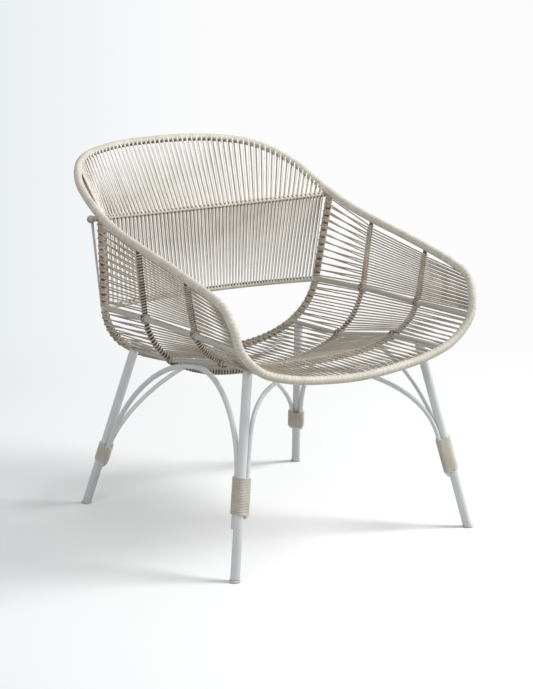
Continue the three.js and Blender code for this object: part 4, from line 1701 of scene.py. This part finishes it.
@dataclass
class Leg:
    """A splayed tube leg, its glide and the cord that binds the braces to it.

    Attributes:
        foot_half: From the middle of the chair to its foot, across.
        binding_height: Height where the binding starts.
        binding_turns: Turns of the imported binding, which give its length.
        binding_pitch: Climb of one of those.
        side_brace: Radius of the side arch.
        cross_brace: Radius of the front and rear arches.
        plain_shares: Shares of the leg with stations below its weld.
        weld_start: Share of the leg from which it has the shape of a weld.
        weld_depth: How far the weld reaches into the rail.
        weld_swell: How much it thickens the leg in the middle.
        weld_taper: How much it narrows it at the end.
        foot_edge: How much the tube's lower edge is rounded.
        glide_lip: How much wider the glide is.
        glide_heights: Heights of its outline above the floor.
        glide_insets: How far the outline lies inside the widest place.
        plug_heights: Heights of the ends of its plug that shows.
        cord_radius: Half the thickness of the binding's cord.
        cord_pitch: Climb of a turn of it.
    """

    rails: Rails
    end: End
    side: Side
    foot_half: float
    foot_y: float
    top_y: float
    binding_height: float
    binding_turns: int
    binding_pitch: float = 0.0043
    radius: float = 0.00975
    side_brace: float = 0.0055
    cross_brace: float = 0.00475
    plain_shares: tuple[float, ...] = (0.0, 0.003, 0.5)
    weld_start: float = 0.965
    weld_steps: int = 9
    weld_depth: float = 0.003
    weld_swell: float = 0.06
    weld_taper: float = 0.28
    foot_edge: float = 0.0006
    tube_sides: int = 28
    glide_lip: float = 0.0018
    glide_heights: tuple[float, ...] = (0.0, 0.0002, 0.001, 0.0028, 0.0036, 0.004)
    glide_insets: tuple[float, ...] = (0.002, 0.0011, 0.0002, 0.0, 0.0004, 0.0012)
    plug_heights: tuple[float, float] = (0.0041, 0.006)
    plug_radius: float = 0.0078
    glide_sides: int = 40
    cord_radius: float = 0.00155
    cord_pitch: float = 0.0031
    turn_stations: int = 34
    outline_steps: int = 721
    cord_shade: float = -0.25

    def __post_init__(self) -> None:
        """Works out the leg's line and the two directions square to it."""
        under = self.rails.seat_radius + GAP
        self.name = f"{self.end.value}_{self.side.word}"
        self.top = mirrored(self.rails.seat_point(self.top_y) - under * UP, self.side)
        self.foot = np.array([self.side.value * self.foot_half, self.foot_y, 0.0])
        self.axis = unit(self.top - self.foot)
        self.inward = square_to(-float(self.side.value) * SIDEWAYS, self.axis)
        self.lengthwise = square_to(-math.copysign(1.0, self.foot_y) * REARWARDS, self.axis)
        rise = self.binding_turns * self.binding_pitch * self.axis[2]
        self.binding_top = self.binding_height + rise

    def at_height(self, height: float) -> Array:
        """The leg's middle at a height."""
        return self.foot + self.axis * height / self.axis[2]

    def side_spot(self, height: float) -> Array:
        """Middle of the side arch where it lies along the leg."""
        return self.at_height(height) + self.lengthwise * (self.radius + GAP + self.side_brace)

    def cross_spot(self, height: float) -> Array:
        """Middle of the front or rear arch where it lies along the leg."""
        return self.at_height(height) + self.inward * (self.radius + GAP + self.cross_brace)

    def build(self) -> None:
        """Makes the tube with its weld at the rail, the glide and the binding."""
        welded = np.linspace(self.weld_start, 1, self.weld_steps)
        share = np.concatenate([self.plain_shares, welded])
        start = self.at_height(self.glide_heights[-1] + GAP)
        centres = between(start[None], self.top[None] + self.axis * self.weld_depth, share)
        weld = np.clip((share - self.weld_start) / (1 - self.weld_start), 0, 1)
        swell = self.weld_swell * np.sin(math.pi * weld) - self.weld_taper * weld**4
        size = self.radius * (1 + swell)
        size[0] -= self.foot_edge
        rings = rings_round(centres, self.inward, size, size, self.tube_sides)
        Piece(f"{self.name}_leg_tube", skin(rings[None])).dress(PAINT)
        Piece(f"{self.name}_glide", self._glide()).dress(GLIDE)
        binding = skin(self._binding(), tones=np.array([self.cord_shade]))
        Piece(f"{self.name}_leg_cord_binding", binding).dress(LACING)

    def _glide(self) -> Surface:
        """The glide, turned about an upright axis."""
        lip = self.radius + self.glide_lip
        height = np.array([*self.glide_heights, *self.plug_heights])
        plug = np.full(len(self.plug_heights), self.plug_radius)
        across = np.concatenate([lip - np.array(self.glide_insets), plug])
        middle = self.foot * np.array([1.0, 1.0, 0.0]) + height[:, None] * UP
        return skin(rings_round(middle, SIDEWAYS, across, across, self.glide_sides)[None])

    def _binding(self) -> Array:
        """Rings of the binding, wound round the shared outline of the leg and its two braces.

        The outline's point facing angle q is c + r (cos q, sin q) for whichever of the three
        circles reaches furthest that way; the cord climbs it by a pitch each turn.
        """
        reach = self.radius + GAP
        braces = (self.side_brace, self.cross_brace)
        middles = np.array([[0.0, 0.0], [reach + braces[0], 0.0], [0.0, reach + braces[1]]])
        radii = np.array([self.radius, *braces]) + GAP + self.cord_radius
        angle = np.linspace(0, 2 * math.pi, self.outline_steps)
        facing = np.stack([np.cos(angle), np.sin(angle)], axis=-1)
        furthest = np.argmax(facing @ middles.T + radii, axis=1)
        flat = middles[furthest] + radii[furthest, None] * facing
        outline = Path(np.concatenate([flat, np.zeros((len(flat), 1))], axis=1))
        turns = int((self.binding_top - self.binding_height) / self.axis[2] / self.cord_pitch)
        turn = np.arange(turns * self.turn_stations + 1) / self.turn_stations
        around = outline.at((turn % 1.0) * outline.length)
        climb = (turn * self.cord_pitch)[:, None] * self.axis
        start = self.at_height(self.binding_height)
        centres = start + around[:, :1] * self.lengthwise + around[:, 1:2] * self.inward + climb
        radius = self.cord_radius
        return rings_round(centres[None], self.axis, radius, radius, WINDING_CORD_SIDES)


@dataclass
class ArchEnd:
    """One end of an arched brace.

    Attributes:
        foot: Where its line starts along the leg.
        spring: Where it leaves the leg.
        squareness: The superellipse's power from there to the apex.
    """

    leg: Leg
    foot: Array
    spring: Array
    squareness: float


@dataclass
class Arch:
    """A tube bent from one leg to another, whose ends lie along the legs.

    Attributes:
        apex: Middle of the tube at its highest.
        lean_axis: Level direction square to its span, in which it leans.
        settling: Rounds in which it is fitted under its rail.
    """

    name: str
    radius: float
    ends: Sequence[ArchEnd]
    apex: Array
    lean_axis: Array
    wall: float = 0.0015
    quarter_steps: int = 400
    stations: int = 120
    sides: int = 22
    settling: int = 4

    def _quarter(self, end: ArchEnd) -> Array:
        """From a leg to the apex.

        spring + across (1 - cos ** p) + lean (1 - cos ** 2p) + climb sin ** p, where p is
        2 / squareness and climb is the part along the leg.

        Args:
            end: The end that stands at the leg.

        Returns:
            Points of that part, without the apex.
        """
        climb = end.leg.axis * (self.apex[2] - end.spring[2]) / end.leg.axis[2]
        across = self.apex - end.spring - climb
        lean = self.lean_axis * float(across @ self.lean_axis)
        across = across - lean
        angle = np.linspace(0, math.pi / 2, self.quarter_steps)[:-1]
        power = 2 / end.squareness
        left = (np.cos(angle) ** power)[:, None]
        up = (np.sin(angle) ** power)[:, None]
        return end.spring + across * (1 - left) + lean * (1 - left**2) + climb * up

    def route(self) -> Array:
        """The arch's middle line, at even lengths."""
        one, two = self.ends
        there, back = self._quarter(one), self._quarter(two)[::-1]
        parts = [one.foot[None], there, self.apex[None], back, two.foot[None]]
        line = Path(np.concatenate(parts))
        return line.at(np.linspace(0, line.length, self.stations))

    def settle(self, rail: Array, spacing: float) -> None:
        """Lowers the apex until the arch lies just under a straight rail.

        Args:
            rail: The rail's two ends, (2, 3).
            spacing: From its middle line to the arch's.
        """
        for _ in range(self.settling):
            line = self.route()
            run = rail[1] - rail[0]
            share = np.clip((line - rail[0]) @ run / (run @ run), 0, 1)
            gap = np.linalg.norm(line - between(rail[:1], rail[1:], share), axis=1)
            self.apex = self.apex - UP * (spacing - gap.min())

    def build(self) -> None:
        """Makes the tube, open at both ends."""
        bore = self.radius - self.wall
        made = tube(self.route(), self.lean_axis, self.radius, self.sides, bore)
        Piece(f"{self.name}_brace", made).dress(PAINT)


@dataclass
class Underframe:
    """The four legs, the arched braces between them and the bindings.

    Attributes:
        feet: Half width and y of the feet at each end of the chair.
        top_ys: The y of the legs' tops there.
        bindings: Height of the bindings there, and their turns.
        side_squareness: How square they are at the rear and at the front.
        front_squareness: How square the front arch is on the left and on the right.
        front_high_spring: Height where the front arch leaves its left leg.
        tail: How far the arches' ends reach below the bindings.
        front_tails: The same for the side arches' front ends, left and right.
        front_drop: From the front rib's lowest point to the top of the front arch.
    """

    hoop: Cradle
    front_rib: Cradle
    rails: Rails
    feet: dict[End, tuple[float, float]] = field(
        default_factory=lambda: {End.FRONT: (0.300, -0.3665), End.REAR: (0.286, 0.2446)}
    )
    top_ys: dict[End, float] = field(
        default_factory=lambda: {End.FRONT: -0.2925, End.REAR: 0.141}
    )
    bindings: dict[End, tuple[float, int]] = field(
        default_factory=lambda: {End.FRONT: (0.126, 18), End.REAR: (0.104, 10)}
    )
    side_apex_y: float = -0.123
    side_squareness: tuple[float, float] = (2.02, 1.88)
    front_squareness: tuple[float, float] = (2.8, 2.32)
    rear_squareness: float = 1.63
    front_high_spring: float = 0.252
    tail: float = 0.006
    front_tails: tuple[float, float] = (0.027, 0.015)
    front_drop: float = 0.01545

    def _leg(self, end: End, side: Side) -> Leg:
        """The leg at an end of the chair and on a side."""
        feet, top_y, binding = self.feet[end], self.top_ys[end], self.bindings[end]
        return Leg(self.rails, end, side, *feet, top_y, *binding)

    def build(self) -> None:
        """Makes legs, glides, bindings and arches."""
        front = {side: self._leg(End.FRONT, side) for side in Side}
        rear = {side: self._leg(End.REAR, side) for side in Side}
        for leg in (*front.values(), *rear.values()):
            leg.build()
        for side, front_tail in zip(Side, self.front_tails):
            self._side_arch(side, rear[side], front[side], front_tail).build()
        left, right = front.values()
        springs = (self.front_high_spring, right.binding_top)
        ends = [
            self._cross_end(leg, spring, squareness)
            for leg, spring, squareness in zip((left, right), springs, self.front_squareness)
        ]
        apex = self.front_rib.path.at(0.0) - UP * (self.front_drop + left.cross_brace)
        Arch("front_arch", left.cross_brace, ends, apex, REARWARDS).build()
        square = self.rear_squareness
        ends = [self._cross_end(leg, leg.binding_top, square) for leg in rear.values()]
        under = self.hoop.wrap_radius + GAP + left.cross_brace
        apex = self.hoop.path.at(0.0) - UP * under
        Arch("rear_arch", left.cross_brace, ends, apex, REARWARDS).build()

    def _cross_end(self, leg: Leg, spring: float, squareness: float) -> ArchEnd:
        """An end of the front or rear arch, by its leg, where it springs and how square it is."""
        foot = leg.cross_spot(leg.binding_height - self.tail)
        return ArchEnd(leg, foot, leg.cross_spot(spring), squareness)

    def _side_arch(self, side: Side, rear: Leg, front: Leg, front_tail: float) -> Arch:
        """A side arch, settled under its seat rail.

        Args:
            side: Side of the chair.
            rear: The rear leg there.
            front: The front leg there.
            front_tail: How far the front end reaches below the binding.

        Returns:
            The arch.
        """
        ends = []
        tails = (self.tail, front_tail)
        for leg, tail, squareness in zip((rear, front), tails, self.side_squareness):
            foot, spring = leg.side_spot(leg.binding_height - tail), leg.side_spot(leg.binding_top)
            ends.append(ArchEnd(leg, foot, spring, squareness))
        spacing = self.rails.seat_radius + GAP + front.side_brace
        apex = mirrored(self.rails.seat_point(self.side_apex_y) - UP * spacing, side)
        arch = Arch(f"{side.word}_side_arch", front.side_brace, ends, apex, SIDEWAYS)
        arch.settle(mirrored(self.rails.seat_nodes[1:3], side), spacing)
        return arch


@dataclass
class Lacing:
    """Every laced panel of the chair.

    Attributes:
        cradles: The hoop and the two ribs, from rear to front.
        upper_back_count: Front cords of the fan, and as many rear ones.
        lower_back_count: The same of the panel under it.
        rim_clear: From the rim to the first arm cord, along a cradle.
        side_clear: From a side rail to the cords beside it.
        arm_drop: How much lower the first arm cord starts.
        arm_root_reach: From the front rib to where that cord goes into the rim.
        arm_root_bias: Power of the arm cords' spacing on the rim.
        root_clear: What the arm's last cord keeps from the side rail beside the rim's wrap.
        fan_rim: Ends of the fan on the rim, left and right.
        fan_growth: How much closer its left cords stand there.
        fan_foot: Ends of the fan on the mid back rail.
        fan_crowd: Share of the cords that are crowded on the left of that rail.
        fan_soft: How soft the bend from the crowded to the spread ones is.
        lower_sway: How far the lower panel's feet are swayed to the right.
        lower_lean: How much more that is on the left.
        mid_inset: From the hoop's wrap to the lower panel on the mid rail.
        low_inset: The same on the lower rail.
        rear_shift: How far the rear cords stand beside the front ones on the mid rail.
        stay_insets: From the mid rail's end to the heads of the two stays.
        stay_rises: From the side rail up the hoop to their feet.
    """

    rim: Rim
    cradles: Sequence[Cradle]
    rails: Rails
    back_rails: BackRails
    cord: Cord = Cord()
    arm_count: int = 22
    flank_count: int = 14
    seat_count: int = 60
    upper_back_count: int = 60
    lower_back_count: int = 60
    rim_clear: float = 0.0123
    side_clear: float = 0.00975
    flank_clear: float = 0.0085
    seat_clear: float = 0.0087
    arm_drop: float = 0.005
    arm_root_reach: float = 0.145
    arm_root_bias: float = 0.9
    root_clear: float = 0.0022
    fan_rim: tuple[float, float] = (-0.292, 0.444)
    fan_growth: float = 0.2
    fan_foot: tuple[float, float] = (-0.287, 0.278)
    fan_crowd: float = 0.08
    fan_soft: float = 0.04
    lower_sway: float = 0.156
    lower_lean: float = 0.75
    mid_inset: float = 0.0065
    low_inset: float = 0.004
    rear_shift: float = 0.0046
    stay_insets: tuple[float, float] = (0.010, 0.0065)
    stay_rises: tuple[float, float] = (0.004, 0.009)
    stay_stations: int = 5

    def __post_init__(self) -> None:
        """Works out the cords' places on the cradles, the rim and the back rails."""
        hoop, *ribs = self.cradles
        rails, rim = self.rails, self.rim
        last_bay = unit(rails.side_nodes[3] - rails.side_nodes[2])
        slant = math.acos(float(rim.heading(rails.side_rim_length) @ last_bay))
        beside = self.side_clear / math.sin(slant)
        above = beside + (rim.wrap_radius + self.root_clear) / math.tan(slant)
        side_at, seat_at = rails.side_rim_length, rails.seat_rim_length
        top = self.rim_clear + self.arm_drop
        arm = [(c.length - top, c.side_length + self.side_clear) for c in self.cradles]
        arm_rim = (ribs[-1].rim_length + self.arm_root_reach, side_at - above)
        flank = [
            (c.side_length - self.side_clear, c.seat_length + self.flank_clear)
            for c in self.cradles
        ]
        flank_rim = (side_at + beside, seat_at - self.flank_clear)
        edges = [c.seat_length - self.seat_clear for c in self.cradles]
        seat = [(edge, -edge) for edge in edges]
        seat_rim = (seat_at + self.seat_clear, 2 * rim.half - seat_at - self.seat_clear)
        self.panels = [CradledPanel("seat", rim, hoop, ribs, self.seat_count, seat, seat_rim)]
        for side in Side:
            for name, *sizes in (
                ("arm", self.arm_count, arm, arm_rim, self.arm_root_bias),
                ("flank", self.flank_count, flank, flank_rim, 1.0),
            ):
                made = CradledPanel(f"{side.word}_{name}", rim, hoop, ribs, *sizes, side)
                self.panels.append(made)
        self.upper = self._upper_back()
        self.lower = self._lower_back()

    def _layers(self, count: int) -> Array:
        """Places from 1 to -1 of front cords with the rear cords half way between them."""
        return 1 - (np.arange(2 * count) - 0.5) / (count - 0.5)

    def _rear_shift(self, places: Array) -> Array:
        """How far each cord's end on the mid back rail is moved: nothing for the front ones."""
        return self.rear_shift * (np.arange(len(places)) % 2)

    def _fan_growth(self, shares: Array) -> Array:
        """Unscaled growth of the fan's feet: p + sqrt(p ** 2 + soft ** 2), p = share - crowd."""
        past = shares - self.fan_crowd
        return past + np.sqrt(past**2 + self.fan_soft**2)

    def _upper_back(self) -> BackPanel:
        """The fan from the rim to the mid back rail, which leans to the left.

        Its place on the rim is at the share (1 - g) t + g t ** 2, with t even from cord to cord
        and g the growth, and its feet are at shares of the rail that grow as _fan_growth says.
        """
        back = self.back_rails
        place = self._layers(self.upper_back_count)
        share = (1 + place) / 2
        share = (1 - self.fan_growth) * share + self.fan_growth * share**2
        start, end = self.fan_rim
        self.fan_lengths = start + (end - start) * share
        low, high, at = (self._fan_growth(np.asarray(value)) for value in (0.0, 1.0, share))
        start, end = self.fan_foot
        feet = start + (end - start) * (at - low) / (high - low)
        self.fan_feet = feet + self._rear_shift(place)
        return BackPanel(
            "upper_back",
            self.rim.at(self.fan_lengths),
            self.rim.heading(self.fan_lengths),
            self.rim.wrap_radius,
            back.mid_at(self.fan_feet),
            np.broadcast_to(SIDEWAYS, (len(place), 3)),
            back.wrap_radius,
        )

    def _lower_back(self, step: float = 0.002) -> BackPanel:
        """The panel from the mid back rail to the bowed lower one, swayed.

        The sway at place p, from -1 to 1, is sway (1 - p ** 2) (1 - lean p).

        Args:
            step: Reach either way over which the lower rail's direction is taken.

        Returns:
            The panel.
        """
        hoop, back = self.cradles[0], self.back_rails
        place = self._layers(self.lower_back_count)
        mid_half = hoop.top[0] - hoop.wrap_radius - self.mid_inset
        self.mid_spots = place * mid_half + self._rear_shift(place)
        swayed = place + self.lower_sway * (1 - place**2) * (1 - self.lower_lean * place)
        low = swayed * (back.low_half - hoop.wrap_radius - self.low_inset)
        self.low_spots = np.interp(low, back.low_path.points[:, 0], back.low_path.lengths)
        return BackPanel(
            "lower_back",
            back.mid_at(self.mid_spots),
            np.broadcast_to(SIDEWAYS, (len(place), 3)),
            back.wrap_radius,
            back.low_at(low),
            unit(back.low_at(low + step) - back.low_at(low - step)),
            back.wrap_radius,
        )

    def rim_roots(self) -> list[Roots]:
        """All marks on the rim."""
        sides = [roots for panel in self.panels for roots in panel.rim_roots()]
        return [self.upper.roots(self.fan_lengths, True), *sides]

    def hoop_roots(self) -> list[Roots]:
        """All marks on the hoop."""
        return [roots for panel in self.panels for roots in panel.hoop_roots()]

    def mid_roots(self) -> list[Roots]:
        """The two rows of marks on the mid back rail."""
        return [self.upper.roots(self.fan_feet, False), self.lower.roots(self.mid_spots, True)]

    def low_roots(self) -> list[Roots]:
        """The row of marks on the lower back rail."""
        return [self.lower.roots(self.low_spots, False)]

    def _stays(self) -> list[Surface]:
        """Two cords outside each side of the hoop, from the mid rail's end to the side rail's."""
        hoop, back = self.cradles[0], self.back_rails
        head = back.mid_at(back.mid_half - np.array(self.stay_insets))
        joint = hoop.path.at(hoop.side_length + np.array(self.stay_rises))
        outward = -hoop.sitterward(np.full(2, hoop.side_length)) * hoop.wrap_radius
        share = np.linspace(0, 1, self.stay_stations)[None]
        centres = between(head[:, None], (joint + outward)[:, None], share)
        radius = self.cord.radius
        stays = []
        for side in Side:
            line = mirrored(centres, side)[:, :: side.value]
            rings = rings_round(line, REARWARDS, radius, radius, CORD_SIDES)
            stays.append(skin(rings, tones=np.zeros(2)))
        return stays

    def build(self, rng: np.random.Generator) -> None:
        """Strings the sides, the seat and the back."""
        for panel in self.panels:
            panel.build(self.cord, rng)
        self.upper.build(self.cord, rng)
        self.lower.build(self.cord, rng, self._stays())


# Studio


@dataclass(frozen=True)
class Lamp:
    """A square soft lamp, of a size in metres and a power in watts."""

    name: str
    place: tuple[float, float, float]
    size: float
    power: float
    colour: tuple[float, float, float] = (1.0, 1.0, 1.0)


@dataclass
class Studio:
    """Floor, lamps, background and the camera of the photograph.

    Attributes:
        camera_target: What it and the lamps look at.
        lens: Its focal length in millimetres.
        floor_reach: From the middle of the floor to its edges.
        world_strength: Strength of the even light from everywhere.
    """

    camera_place: tuple[float, float, float] = (-2.3188, -3.3760, 1.3248)
    camera_target: tuple[float, float, float] = (0.0, -0.0446, 0.378)
    lens: float = 101.77
    sensor_width: float = 36.0
    floor_reach: float = 60.0
    world_strength: float = 0.46
    lamps: Sequence[Lamp] = (
        Lamp("key", (2.7, -1.9, 3.2), 1.5, 168.0, (1.0, 0.99, 0.975)),
        Lamp("fill", (-3.2, -2.2, 2.4), 2.0, 28.0, (0.97, 0.99, 1.0)),
    )

    def build(self) -> None:
        """Sets the stage."""
        scene = bpy.context.scene
        scene.view_settings.view_transform = "Standard"
        self._floor()
        self._world()
        for lamp in self.lamps:
            self._hang(lamp)
        camera = bpy.data.cameras.new("camera")
        camera.lens = self.lens
        camera.sensor_width = self.sensor_width
        scene.camera = self._placed("camera", camera, self.camera_place)

    def _placed(self, name: str, data: bpy.types.ID, place: Sequence[float]) -> bpy.types.Object:
        """Adds a camera or lamp at a place, turned to the target.

        Args:
            name: Name of its object.
            data: The camera or light.
            place: Where it stands.

        Returns:
            Its object.
        """
        holder = bpy.data.objects.new(name, data)
        bpy.context.scene.collection.objects.link(holder)
        holder.location = place
        sight = Vector(self.camera_target) - Vector(place)
        holder.rotation_euler = sight.to_track_quat("-Z", "Y").to_euler()
        return holder

    def _hang(self, lamp: Lamp) -> None:
        """Adds one lamp.

        Args:
            lamp: Its name, place, size, power and colour.
        """
        light = bpy.data.lights.new(lamp.name, "AREA")
        light.size = lamp.size
        light.energy = lamp.power
        light.color = lamp.colour
        self._placed(lamp.name, light, lamp.place)

    def _floor(self) -> None:
        """A wide level floor."""
        reach = self.floor_reach
        corners = [(x * reach, y * reach, 0.0) for x, y in ((-1, -1), (1, -1), (1, 1), (-1, 1))]
        mesh = bpy.data.meshes.new("floor")
        mesh.from_pydata(corners, [], [(0, 1, 2, 3)])
        mesh.materials.append(FLOOR.material())
        floor = bpy.data.objects.new("floor", mesh)
        bpy.context.scene.collection.objects.link(floor)

    def _world(self) -> None:
        """Even white light from everywhere, and the backdrop's colour for the eye."""
        world = bpy.data.worlds.new("studio")
        world.use_nodes = True
        graph = Graph(world.node_tree)
        white = {"Color": (1.0, 1.0, 1.0, 1.0), "Strength": self.world_strength}
        light = graph.node("Background", {}, white).outputs[0]
        backdrop = graph.node("Background", {}, {"Color": FLOOR.light, "Strength": 1.0}).outputs[0]
        shown = graph.node("MixShader", {}, {0: graph.looked_at(), 1: light, 2: backdrop})
        graph.node("OutputWorld", {}, {"Surface": shown.outputs[0]})
        bpy.context.scene.world = world


def main() -> None:
    """Builds the chair and its studio."""
    logging.basicConfig(level=logging.INFO, format="%(message)s")
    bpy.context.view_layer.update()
    rng = np.random.default_rng(RNG_SEED)
    rim = Rim()
    # The hoop's wrap gets less painted shade than the ribs'.
    hoop = Cradle(
        rim, "rear_hoop", station=0.1558, lean=-0.125, shoulder_half=0.2818, floor_height=0.321,
        squareness=2.65, shoulder_height=0.480, side_height=0.457, core=Core.TUBE,
        core_radius=0.0065, wrap_radius=0.0082, pitch=0.0042, shade=-0.5, murk=0.4,
    )
    middle = Cradle(
        rim, "middle_rib", station=-0.014, lean=-0.03, shoulder_half=0.2865, floor_height=0.319,
        squareness=2.55,
    )
    front = Cradle(
        rim, "front_rib", station=-0.2035, lean=0.01, shoulder_half=0.289, floor_height=0.372,
        squareness=2.75,
    )
    cradles = (hoop, middle, front)
    rails = Rails(rim, cradles)
    back_rails = BackRails(rim, hoop, rails)
    lacing = Lacing(rim, cradles, rails, back_rails)
    rim.build(lacing.rim_roots())
    hoop.build(lacing.hoop_roots())
    middle.build()
    front.build()
    rails.build()
    back_rails.build(lacing.mid_roots(), lacing.low_roots())
    Underframe(hoop, front, rails).build()
    lacing.build(rng)
    Studio().build()


if __name__ == "__main__":
    main()
